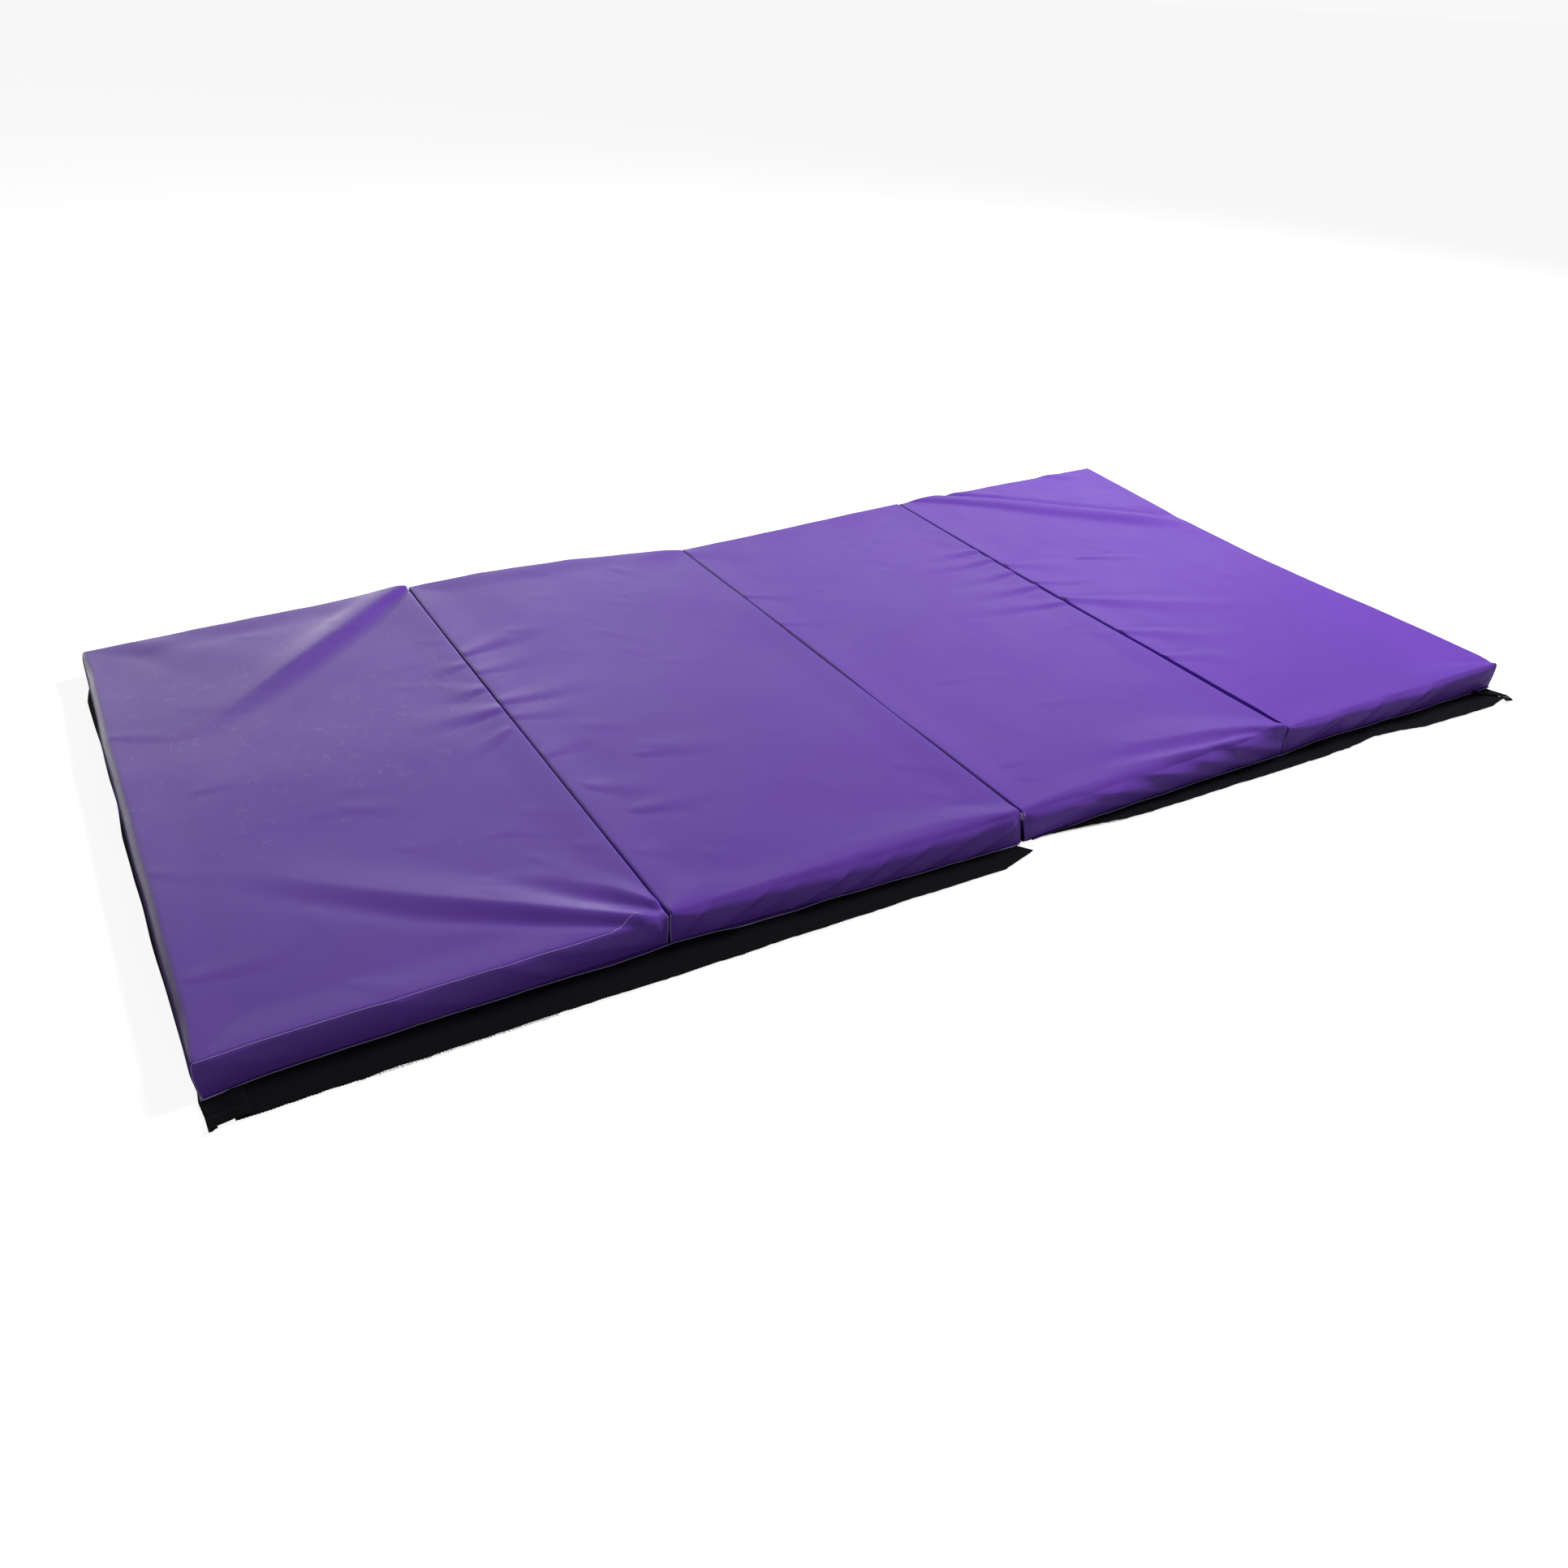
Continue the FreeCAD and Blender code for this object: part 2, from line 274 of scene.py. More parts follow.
# How far the foot of a side wall stands back under its panel, from the front to the back.
FOOT = {
    (2, "right"): [(-610, 8.0), (-560, 3.0), (-480, 0), (560, 0), (610, 2)],
    (3, "left"): [(-610, 16.0), (-570, 10.0), (-520, 2.0), (-480, 0), (560, 0), (610, 4)],
    (4, "right"): [(-610, 4), (-480, 5), (-200, 4), (610, 5)],
    (1, "left"): [(-610, 3), (610, 2)],
}


def foot_in(number, side, y):
    """How far the foot of a side wall stands back, at each place along it."""
    return along(FOOT.get((number, side), [(-610, 0), (610, 0)]), y)


def spaced(low, high, step, edge_step, edge_width):
    """Places from low to high, closer together near both ends."""
    edge = np.arange(0.0, edge_width, edge_step)
    inner = np.linspace(low + edge_width, high - edge_width, int((high - low - 2 * edge_width) / step) + 1)
    return np.concatenate([low + edge, inner, (high - edge)[::-1]])


def fold(path, height, left, right, crest=4, valley=0.22, fade=(0.1, 0.95)):
    """The arguments of fold_height, from lengths in millimetres."""
    return {"path": np.array(path) * MM, "height": height * MM, "left": left * MM, "right": right * MM,
            "crest": crest * MM, "valley": valley, "fade": fade}


# The long ridge across panel 1, which is two folds on one line: a broad low one and a steep one.
RIDGE = [(-606, 640), (-690, 568), (-752, 505), (-895, 375), (-1020, 262), (-1120, 170)]

# The folds in each panel's top, from the seam where each starts.
TOP_FOLDS = {
    1: [
        fold(RIDGE, 9, 36, 130, crest=3, valley=0.1),
        fold(RIDGE, 6, 34, 50, crest=3, valley=0.1),
        fold([(-648, -597), (-700, -559), (-743, -528), (-808, -478), (-896, -413), (-988, -336),
              (-1081, -257), (-1150, -205)], 8.2, 30, 60, crest=4),
        fold([(-616, -572), (-653, -518), (-702, -467), (-770, -415)], 5, 24, 34, crest=4),
        fold([(-620, 244), (-678, 244), (-730, 246)], 1.0, 20, 32, crest=8),
        fold([(-622, 140), (-665, 142), (-715, 142)], 1.6, 22, 38, crest=8),
        fold([(-622, 56), (-705, 62), (-800, 62)], 2.1, 26, 48, crest=8),
        fold([(-630, -20), (-700, -60), (-740, -110)], 1.1, 20, 26),
        fold([(-1100, 560), (-980, 470), (-900, 330)], 2.0, 70, 70, crest=20),
    ],
    2: [
        fold([(-600, 285), (-543, 311), (-455, 334), (-400, 350)], 1.7, 40, 22, crest=8),
        fold([(-596, 205), (-520, 225), (-430, 238)], 1.1, 40, 24, crest=8),
        fold([(-602, 80), (-535, 84), (-445, 96), (-380, 110)], 1.5, 40, 22, crest=8),
        fold([(-600, 20), (-530, 14), (-450, 24)], 1.0, 36, 22, crest=8),
        fold([(-604, -125), (-526, -95), (-470, -80)], 0.9, 36, 22, crest=8),
        fold([(-530, -338), (-424, -340), (-360, -330)], 1.2, 38, 24, crest=8),
        fold([(-570, -245), (-500, -280), (-430, -300)], 1.1, 38, 24, crest=8),
        fold([(-455, -185), (-350, -196), (-300, -190)], 1.0, 32, 22, crest=8),
        fold([(-20, 600), (-110, 560), (-240, 520)], 3, 50, 60, crest=14),
        fold([(-606, -600), (-560, -560), (-480, -545)], 3, 40, 30),
        fold([(-10, -612), (-120, -585), (-300, -570), (-480, -565)], 3, 26, 60, crest=8),
    ],
    3: [
        fold([(604, -620), (540, -588), (470, -566), (391, -549), (301, -537), (190, -528)],
             11, 24, 70, crest=3),
        fold([(560, -618), (491, -606), (416, -606), (281, -585), (170, -577)], 8, 18, 26, crest=3),
        fold([(606, 296), (533, 309), (450, 310), (370, 306)], 2.1, 18, 32, crest=6),
        fold([(606, 244), (548, 247), (470, 255), (380, 262)], 2.2, 18, 32, crest=6),
        fold([(606, 168), (520, 172), (427, 176)], 2.2, 18, 32, crest=6),
        fold([(606, 84), (500, 98), (389, 110)], 2.6, 20, 36, crest=6),
        fold([(600, -8), (480, 22), (360, 50), (265, 62)], 2.2, 22, 40, crest=6),
        fold([(20, 560), (120, 520), (260, 480)], 2, 50, 50, crest=10),
        fold([(6, 300), (80, 270), (160, 262)], 1.6, 30, 18),
        fold([(6, 150), (80, 130), (150, 128)], 1.2, 30, 18),
    ],
    4: [
        fold([(618, 650), (714, 622), (790, 574), (852, 532), (968, 430), (1086, 333), (1176, 252),
              (1230, 190)], 12, 26, 46, crest=3, fade=(0.5, 1.6)),
        fold([(1066, 650), (1105, 634), (1160, 604), (1215, 570)], 3.5, 18, 26),
        fold([(762, 634), (820, 606), (930, 545)], 2.6, 18, 26),
        fold([(800, 178), (870, 152), (981, 104)], 2.6, 12, 18, crest=2),
        fold([(622, 206), (674, 190), (802, 140)], 2.8, 22, 34, crest=6),
        fold([(622, 100), (700, 78), (780, 40)], 2.4, 20, 24),
        fold([(620, 6), (717, -48), (810, -100), (900, -140), (1040, -218)], 4.0, 26, 44, crest=6),
        fold([(622, -172), (690, -206), (760, -252), (880, -290)], 3.0, 22, 38, crest=6),
        fold([(622, -300), (700, -330), (790, -380)], 2.0, 22, 30),
        fold([(1205, -620), (1110, -590), (1000, -580), (900, -585)], 4, 50, 26, crest=6),
    ],
}


def top_folds(number, x, y):
    """The folds and waves in a panel's top, as a height."""
    height = value_noise(x, y, 0.24, 10 + number) * 0.0013 + value_noise(x, y, 0.09, 20 + number) * 0.0004
    for one in TOP_FOLDS[number] + scattered_wrinkles(number):
        height = height + fold_height(x, y, **one)
    return height


def scattered_wrinkles(number):
    """Short shallow wrinkles at seeded places."""
    rng = random.Random(400 + number)
    low, high = (edge / MM for edge in panel_walls(number))
    half = HALF_WIDTH / MM
    wrinkles = []
    for _ in range(30):
        x, y = rng.uniform(low, high), rng.uniform(-half, half)
        turn = rng.gauss(-0.45, 0.35)
        length = rng.uniform(50, 180)
        bend = rng.uniform(-0.15, 0.15) * length
        dx, dy = math.cos(turn), math.sin(turn)
        path = [(x, y), (x + dx * length / 2 - dy * bend, y + dy * length / 2 + dx * bend),
                (x + dx * length, y + dy * length)]
        width = rng.uniform(12, 22)
        wrinkles.append(fold(path, rng.uniform(0.15, 0.55), width * 1.6, width, crest=6))
    return wrinkles


# How far the bottom seam stands out from the straight wall line, along the front.
FRONT_SEAM = [(-END, 10), (-1180, 7), (-1129, 4), (-1027, 2), (-850, 2), (-FOLD, -1), (-500, 3),
              (-250, 9), (-20, 13), (20, 11), (200, 6), (400, 3), (FOLD, 4), (700, -3), (1000, 0),
              (END, -3)]

# Creases in the front walls, each from (x, z) at its foot to (x, z) at its top in millimetres, with how
# far it stands out, and how wide it is above and below its line.
FRONT_CREASES = {
    1: [((-890, 12), (-990, 50), 3.0, 18, 10), ((-775, 14), (-840, 48), 3.5, 20, 9),
        ((-640, 18), (-760, 44), 4.0, 22, 9), ((-612, 22), (-650, 60), 4.0, 18, 12),
        ((-1080, 8), (-1180, 40), 1.6, 18, 12), ((-930, 4), (-980, 34), 2.0, 16, 10)],
    2: [((-592, 20), (-556, 50), 3.5, 16, 8), ((-540, 8), (-450, 56), 5.5, 26, 8),
        ((-470, 12), (-418, 44), 3.0, 18, 8), ((-424, 4), (-304, 52), 6.5, 30, 8),
        ((-372, 6), (-338, 34), 3.0, 14, 7), ((-350, 2), (-232, 56), 6.5, 26, 8),
        ((-288, 4), (-166, 52), 6.0, 26, 8), ((-216, 2), (-84, 46), 6.0, 28, 9),
        ((-124, 2), (-8, 40), 6.0, 28, 9)],
    3: [((20, 30), (150, 50), 4.0, 12, 12), ((60, 22), (210, 44), 4.0, 12, 10),
        ((330, 6), (150, 50), 7.0, 16, 14), ((250, 2), (120, 34), 4.0, 12, 12),
        ((440, 8), (270, 54), 8.0, 18, 14), ((540, 4), (390, 44), 7.0, 16, 12),
        ((600, 16), (450, 58), 7.0, 14, 12), ((400, 2), (330, 22), 4.0, 12, 12)],
    4: [((628, 10), (750, 56), 5.0, 26, 9), ((668, 4), (752, 40), 3.5, 20, 8),
        ((784, 6), (874, 56), 5.0, 30, 8), ((840, 4), (886, 30), 2.5, 16, 8),
        ((892, 4), (1028, 58), 6.0, 32, 9), ((950, 2), (1032, 34), 3.5, 20, 9),
        ((1100, 4), (1190, 50), 2.5, 26, 12)],
}


def scattered_creases(number, seed):
    """Slanting creases at seeded places, for a wall that the camera's side doesn't show."""
    rng = random.Random(seed + number)
    low, high = (edge / MM for edge in panel_walls(number))
    count = rng.randint(7, 10)
    creases = []
    for index in range(count):
        foot = low + (high - low) * (index + rng.uniform(0.1, 0.9)) / count
        lean = rng.uniform(30, 110) * (1 if number % 2 else -1)
        creases.append(((foot, rng.uniform(2, 12)), (foot + lean, rng.uniform(38, 56)),
                        rng.uniform(2.0, 5.5), rng.uniform(18, 30), rng.uniform(8, 12)))
    return creases


def wall_folds(creases, x, z):
    """How far slanting creases push a long wall outwards."""
    out = np.zeros(np.shape(x))
    for (x0, z0), (x1, z1), depth, above, below in creases:
        run = math.hypot(x1 - x0, z1 - z0)
        ux, uz = (x1 - x0) / run, (z1 - z0) / run
        along_it = ((x / MM - x0) * ux + (z / MM - z0) * uz) / run
        across = (x / MM - x0) * -uz + (z / MM - z0) * ux
        upper = across * (1 if ux > 0 else -1) > 0
        profile = soft_tent((np.sqrt(across ** 2 + 2.0) - 1.4) / np.where(upper, above, below))
        ends = smoothly(-0.35, 0.1, along_it) * (1.0 - smoothly(0.8, 1.35, along_it))
        out = out + depth * MM * profile * ends
    return out


def rounded_box(points, low, high, number):
    """Round a box's top and upright edges by the radii above."""
    x, y = points[..., 0], points[..., 1]
    near_front = y < 0
    radius_y = np.where(near_front, along(FRONT_RADIUS[number], x), along(BACK_RADIUS[number], x))
    left, right = SIDE_RADIUS[number]
    gap_x = np.minimum(x - low[0], high[0] - x)
    gap_y = np.minimum(y - low[1], high[1] - y)
    radius_x = np.where(x < (low[0] + high[0]) / 2, left, right) * MM
    radius_x = radius_x * (CORNER_SHARE + (1.0 - CORNER_SHARE) * smoothly(0.0, CORNER_REACH, gap_y))
    radius_x = np.maximum(radius_x, LEAST_SIDE_RADIUS)
    weight_x, weight_y = np.exp(-gap_x / EDGE_BLEND), np.exp(-gap_y / EDGE_BLEND)
    radius_z = (weight_x * radius_x + weight_y * radius_y + 1e-9) / (weight_x + weight_y + 1e-7)
    radius_z = np.maximum(radius_z, LEAST_TOP_RADIUS)
    core = points.copy()
    core[..., 0] = np.clip(x, low[0] + radius_x, high[0] - radius_x)
    core[..., 1] = np.clip(y, low[1] + radius_y, high[1] - radius_y)
    core[..., 2] = np.minimum(points[..., 2], high[2] - radius_z)
    radii = np.stack([radius_x, radius_y, radius_z], -1)
    direction = (points - core) / radii
    length = np.linalg.norm(direction, axis=-1, keepdims=True)
    direction = direction / np.maximum(length, 1e-6)
    return core + direction * radii, direction


GRID_STEP = 0.0055
EDGE_STEP = 0.002
SIDE_BAND = 0.018
LONG_BAND = 0.026


def cover_points(number):
    """The cover's points and faces: its top as a grid, and its walls as rings below the grid's edge."""
    left, right = panel_walls(number)
    low = np.array([left, -HALF_WIDTH, SEAM_Z])
    high = np.array([right, HALF_WIDTH, MAT_TOP - 0.001])
    step = GRID_STEP
    xs = spaced(low[0], high[0], step, EDGE_STEP, SIDE_BAND)
    ys = spaced(low[1], high[1], step, EDGE_STEP, LONG_BAND)
    grid_x, grid_y = np.meshgrid(xs, ys, indexing="ij")
    top = np.stack([grid_x, grid_y, np.full_like(grid_x, high[2])], -1)
    rows, columns = grid_x.shape
    index = np.arange(rows * columns).reshape(rows, columns)
    faces = [np.stack([index[:-1, :-1], index[1:, :-1], index[1:, 1:], index[:-1, 1:]], -1).reshape(-1, 4)]
    ring = np.concatenate([index[:-1, 0], index[-1, :-1], index[:0:-1, -1], index[0, :0:-1]])
    levels = np.concatenate([np.arange(1, 10) * 0.0022, np.linspace(0.0235, high[2] - low[2], 8)])
    edge = top.reshape(-1, 3)[ring]
    points = [top.reshape(-1, 3)]
    above = ring
    start = rows * columns
    for level in levels:
        lower = edge.copy()
        lower[:, 2] = high[2] - level
        points.append(lower)
        below = start + np.arange(len(ring))
        faces.append(np.stack([above, np.roll(above, -1), np.roll(below, -1), below], -1)[:, ::-1])
        above = below
        start += len(ring)
    return np.concatenate(points), np.concatenate(faces), low, high


# How far the loose top sheet lies below the edges, and how far in from them it gets there.
SAG = 0.0025
SAG_REACH = 0.07
# How far the long walls and the mat's two end walls bulge, and how wavy the end and fold walls are.
LONG_BULGE = 0.003
END_BULGE = 0.004
END_WAVE = 0.0025
FOLD_WAVE = 0.0003
WAVE_PITCH = 0.12
# What share of the front wall's seam line the back wall has, and where its creases' places come from.
BACK_SEAM_SHARE = 0.4
BACK_CREASE_SEED = 900


def cover_shape(number, flat, low, high):
    """Where points of a straight box lie on one panel's loose cover."""
    points, outward = rounded_box(flat, low, high, number)
    x, y = flat[:, 0], flat[:, 1]
    height_share = np.clip((flat[:, 2] - low[2]) / (high[2] - low[2]), 0.0, 1.0)
    up = np.clip(outward[:, 2], 0.0, 1.0)
    inset = np.minimum(np.minimum(x - low[0], high[0] - x), np.minimum(y - low[1], high[1] - y))
    sag = SAG * smoothly(0.0, SAG_REACH, inset)
    lying = settle(flat)
    points[:, 2] += (top_folds(number, lying[:, 0], lying[:, 1]) - sag) * up
    edge = 1e-6
    on_front = (y <= low[1] + edge) | ((outward[:, 1] < -0.1) & (y < 0))
    on_back = (y >= high[1] - edge) | ((outward[:, 1] > 0.1) & (y > 0))
    side_y = np.abs(outward[:, 1])
    bulge = LONG_BULGE * np.sin(np.pi * height_share) ** 0.8
    seam = along(FRONT_SEAM, x)
    corner = smoothly(0.0, 0.02, np.minimum(x - low[0], high[0] - x))
    foot = np.sin(np.pi / 2 * np.clip(height_share * 6, 0, 1))
    front_creases = wall_folds(FRONT_CREASES[number], x, flat[:, 2]) * foot
    back_creases = wall_folds(scattered_creases(number, BACK_CREASE_SEED), x, flat[:, 2]) * foot
    out_front = seam * (1 - height_share) ** 1.2 + (bulge + front_creases) * corner
    out_back = seam * BACK_SEAM_SHARE * (1 - height_share) + (bulge + back_creases) * corner
    points[:, 1] -= np.where(on_front, out_front * side_y, 0.0)
    points[:, 1] += np.where(on_back, out_back * side_y, 0.0)
    for side, sign in (("left", -1), ("right", 1)):
        side_x = np.clip(outward[:, 0] * sign, 0.0, 1.0)
        chosen = side_x > 0.1
        if (number, side) in LEAN:
            swell = PRESSED[number, side] * smoothly(0.1, 0.6, height_share)
            swell = swell - along(LEAN[number, side], y) * smoothly(0.3, 1.0, height_share)
            wave_height = FOLD_WAVE
        else:
            swell = END_BULGE * np.sin(np.pi * height_share) ** 0.8
            wave_height = END_WAVE
        waves = value_noise(y, height_share * 0.05, WAVE_PITCH, 50 + number) * wave_height
        swell = swell - foot_in(number, side, y) * (1 - height_share) ** 1.3
        points[:, 0] += np.where(chosen, sign * (waves + swell) * side_x, 0.0)
    return settle(points)


def make_cover(number):
    """One panel's loose vinyl skin: the top sheet and the four walls, down to the bottom seam."""
    flat, faces, low, high = cover_points(number)
    cover = new_object(f"cover_{number}", cover_shape(number, flat, low, high), faces)
    solidify(cover, SHEET)
    return cover


def solidify(piece, thickness):
    modifier = piece.modifiers.new("thickness", "SOLIDIFY")
    modifier.thickness = thickness
    modifier.offset = -1.0
    modifier.use_even_offset = False
    apply_modifiers(piece)


def apply_modifiers(piece):
    graph = bpy.context.evaluated_depsgraph_get()
    evaluated = piece.evaluated_get(graph)
    mesh = bpy.data.meshes.new_from_object(evaluated)
    piece.modifiers.clear()
    piece.data = mesh


# --- Materials ----------------------------------------------------------------------------------

def node(tree, kind, **inputs):
    made = tree.nodes.new(kind)
    for name, value in inputs.items():
        made.inputs[name.replace("_", " ")].default_value = value
    return made


def texture(tree, kind, place, **inputs):
    made = node(tree, kind, **inputs)
    tree.links.new(place, made.inputs["Vector"])
    return made


def feed(tree, socket, value):
    """Give a socket a number, a colour or another node's output."""
    if isinstance(value, (int, float)):
        socket.default_value = value
    elif isinstance(value, tuple):
        socket.default_value = (*value, 1.0)
    else:
        tree.links.new(value, socket)


def new_material(name):
    material = bpy.data.materials.new(name)
    material.use_nodes = True
    tree = material.node_tree
    tree.nodes.clear()
    shader = tree.nodes.new("ShaderNodeBsdfPrincipled")
    output = tree.nodes.new("ShaderNodeOutputMaterial")
    tree.links.new(shader.outputs["BSDF"], output.inputs["Surface"])
    place = tree.nodes.new("ShaderNodeTexCoord").outputs["Object"]
    return material, tree, shader, place


def set_surface(tree, shader, **values):
    for name, value in values.items():
        feed(tree, shader.inputs[name.replace("_", " ")], value)


def ramp(tree, source, stops):
    made = tree.nodes.new("ShaderNodeValToRGB")
    tree.links.new(source, made.inputs["Fac"])
    while len(made.color_ramp.elements) < len(stops):
        made.color_ramp.elements.new(0.5)
    for element, (place, colour) in zip(made.color_ramp.elements, stops):
        element.position = place
        element.color = (*colour, 1.0)
    return made.outputs["Color"]


def grey(level):
    return (level, level, level)


def mask(tree, source, *stops):
    """A grey ramp through (place, level) stops."""
    return ramp(tree, source, [(place, grey(level)) for place, level in stops])


def mixed(tree, factor, first, second):
    made = tree.nodes.new("ShaderNodeMix")
    made.data_type = "RGBA"
    for socket, value in ((made.inputs[0], factor), (made.inputs[6], first), (made.inputs[7], second)):
        feed(tree, socket, value)
    return made.outputs[2]


def calculated(tree, operation, first, second=None):
    made = tree.nodes.new("ShaderNodeMath")
    made.operation = operation
    for socket, value in zip(made.inputs, (first, second)):
        if value is not None:
            feed(tree, socket, value)
    return made.outputs[0]


def product(tree, first, *others):
    for value in others:
        first = calculated(tree, "MULTIPLY", first, value)
    return first


def noise(tree, place, scale, detail=3.0, rough=0.5, distortion=0.0):
    return texture(tree, "ShaderNodeTexNoise", place, Scale=scale, Detail=detail, Roughness=rough,
                   Distortion=distortion).outputs["Fac"]


def cells(tree, place, scale):
    return texture(tree, "ShaderNodeTexVoronoi", place, Scale=scale, Randomness=1.0)


def wave(tree, place, direction, **inputs):
    made = texture(tree, "ShaderNodeTexWave", place, **inputs)
    made.bands_direction = direction
    return made.outputs["Fac"]


def add_bump(tree, shader, height, strength, distance, below=None):
    bump = node(tree, "ShaderNodeBump", Strength=strength, Distance=distance)
    tree.links.new(height, bump.inputs["Height"])
    if below is not None:
        tree.links.new(below, bump.inputs["Normal"])
    tree.links.new(bump.outputs["Normal"], shader.inputs["Normal"])
    return bump.outputs["Normal"]


PURPLE = (0.190, 0.074, 0.540)
DARK_PURPLE = (0.172, 0.067, 0.490)
PALE_PURPLE = (0.36, 0.27, 0.62)
SPECK_COLOUR = (0.03, 0.015, 0.07)

# Where the vinyl has been crumpled and rubbed most, and how far that reaches.
CRUMPLED_AT = (-0.93, 0.18, 0.05)
CRUMPLED_REACH = 0.55
CRUMPLED_STRENGTH = 0.42
# The line along the mat's left edge where the coating is scuffed.
SCUFFED_X = -1.229
SCUFFED_WIDTH = 0.012
SCUFFED_STRENGTH = 0.7


def crinkle_lines(tree, place):
    """Thin bent lines, like those that crumpling leaves in a coating."""
    wobble = texture(tree, "ShaderNodeTexNoise", place, Scale=30.0, Detail=4.0)
    spread = tree.nodes.new("ShaderNodeVectorMath")
    spread.operation = "SCALE"
    spread.inputs["Scale"].default_value = 0.05
    tree.links.new(wobble.outputs["Color"], spread.inputs[0])
    bent = tree.nodes.new("ShaderNodeVectorMath")
    bent.operation = "ADD"
    tree.links.new(place, bent.inputs[0])
    tree.links.new(spread.outputs[0], bent.inputs[1])
    crack = cells(tree, bent.outputs[0], 24.0)
    crack.feature = "DISTANCE_TO_EDGE"
    return mask(tree, crack.outputs["Distance"], (0.0, 1.0), (0.022, 0.0))


def vinyl_marks(tree, place):
    """Where the coating is crumpled or scuffed, from 0 to 1."""
    broken = mask(tree, noise(tree, place, 34.0, 2.0), (0.48, 0.0), (0.60, 1.0))
    where = mask(tree, noise(tree, place, 3.1, 2.0, 0.5, 0.3), (0.30, 0.0), (0.50, 1.0))
    away = tree.nodes.new("ShaderNodeVectorMath")
    away.operation = "DISTANCE"
    away.inputs[1].default_value = CRUMPLED_AT
    tree.links.new(place, away.inputs[0])
    near = mask(tree, away.outputs["Value"], (0.15, 1.0), (CRUMPLED_REACH, 0.10))
    crumpled = product(tree, crinkle_lines(tree, place), broken, where, near, CRUMPLED_STRENGTH)
    parts = tree.nodes.new("ShaderNodeSeparateXYZ")
    tree.links.new(place, parts.inputs["Vector"])
    beside = calculated(tree, "ABSOLUTE", calculated(tree, "SUBTRACT", parts.outputs["X"], SCUFFED_X))
    at_edge = mask(tree, beside, (0.0, 1.0), (SCUFFED_WIDTH, 0.0))
    rubbed = mask(tree, noise(tree, place, 60.0, 5.0, 0.7), (0.60, 0.0), (0.70, 1.0))
    return calculated(tree, "MAXIMUM", crumpled, product(tree, at_edge, rubbed, SCUFFED_STRENGTH))


def vinyl_material(name):
    """Coated vinyl: fine grain, faint crinkle marks, scuffs and a slightly uneven gloss."""
    material, tree, shader, place = new_material(name)
    colour = ramp(tree, noise(tree, place, 2.2, 4.0, 0.55), [(0.25, DARK_PURPLE), (0.75, PURPLE)])
    marks = vinyl_marks(tree, place)
    colour = mixed(tree, marks, colour, PALE_PURPLE)
    specks = mask(tree, noise(tree, place, 420.0, 1.0), (0.80, 0.0), (0.83, 1.0))
    colour = mixed(tree, product(tree, specks, 0.5), colour, SPECK_COLOUR)
    gloss = mask(tree, noise(tree, place, 9.0, 5.0, 0.6), (0.3, 0.36), (0.7, 0.45))
    set_surface(tree, shader, Base_Color=colour, Roughness=gloss, Specular_IOR_Level=0.45,
                Coat_Weight=0.06, Coat_Roughness=0.25)
    grain = cells(tree, place, 900.0).outputs["Distance"]
    first = add_bump(tree, shader, grain, 0.10, 0.0003)
    second = add_bump(tree, shader, noise(tree, place, 70.0, 4.0, 0.6), 0.16, 0.0008, first)
    add_bump(tree, shader, marks, 0.35, 0.0008, second)
    return material


def loop_material(name):
    """Black hook-and-loop fabric: a woven ground under a brushed, slightly fuzzy pile."""
    material, tree, shader, place = new_material(name)
    pile = noise(tree, place, 700.0, 3.0, 0.7)
    colour = ramp(tree, pile, [(0.3, (0.003, 0.003, 0.004)), (0.8, (0.013, 0.013, 0.017))])
    set_surface(tree, shader, Base_Color=colour, Roughness=0.92, Specular_IOR_Level=0.15,
                Sheen_Weight=0.04, Sheen_Roughness=0.5)
    warp, weft = (wave(tree, place, direction, Scale=330.0, Distortion=1.2, Detail=1.0)
                  for direction in ("X", "Y"))
    first = add_bump(tree, shader, calculated(tree, "MAXIMUM", warp, weft), 0.5, 0.0006)
    add_bump(tree, shader, pile, 0.8, 0.0008, first)
    return material


def foam_material(name):
    """Closed-cell foam: pale, matt and finely pitted."""
    material, tree, shader, place = new_material(name)
    pits = cells(tree, place, 600.0).outputs["Distance"]
    colour = ramp(tree, pits, [(0.0, (0.58, 0.58, 0.56)), (0.5, (0.80, 0.80, 0.78))])
    set_surface(tree, shader, Base_Color=colour, Roughness=0.9)
    add_bump(tree, shader, pits, 0.6, 0.001)
    return material


def thread_material(name, dark, light):
    """Sewing thread: twisted strands."""
    material, tree, shader, place = new_material(name)
    twist = wave(tree, place, "DIAGONAL", Scale=900.0, Distortion=0.5)
    set_surface(tree, shader, Base_Color=ramp(tree, twist, [(0.2, dark), (0.8, light)]), Roughness=0.6)
    add_bump(tree, shader, twist, 0.5, 0.0003)
    return material


VINYL = vinyl_material("vinyl")
# The edge purple is paler than the vinyl: partly the worn, pale edge of the coating, and partly a painted
# highlight along seams and edges.
PALE_EDGE_AND_HIGHLIGHT = thread_material("vinyl_edge_and_highlight", (0.36, 0.26, 0.66), (0.66, 0.54, 0.95))
VINYL_CUT = thread_material("vinyl_cut_edge", (0.45, 0.34, 0.78), (0.80, 0.68, 1.00))
BLACK_LOOP = loop_material("black_loop")
FOAM = foam_material("foam")
PURPLE_THREAD = thread_material("purple_thread", (0.40, 0.30, 0.72), (0.78, 0.68, 1.00))
GREY_THREAD = thread_material("grey_thread", (0.25, 0.25, 0.27), (0.50, 0.50, 0.52))
BLACK_THREAD = thread_material("black_thread", (0.010, 0.010, 0.012), (0.035, 0.035, 0.040))


def finish(piece, material, body):
    piece.data.materials.clear()
    piece.data.materials.append(material)
    if body:
        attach(piece, body)


# --- Pieces -------------------------------------------------------------------------------------

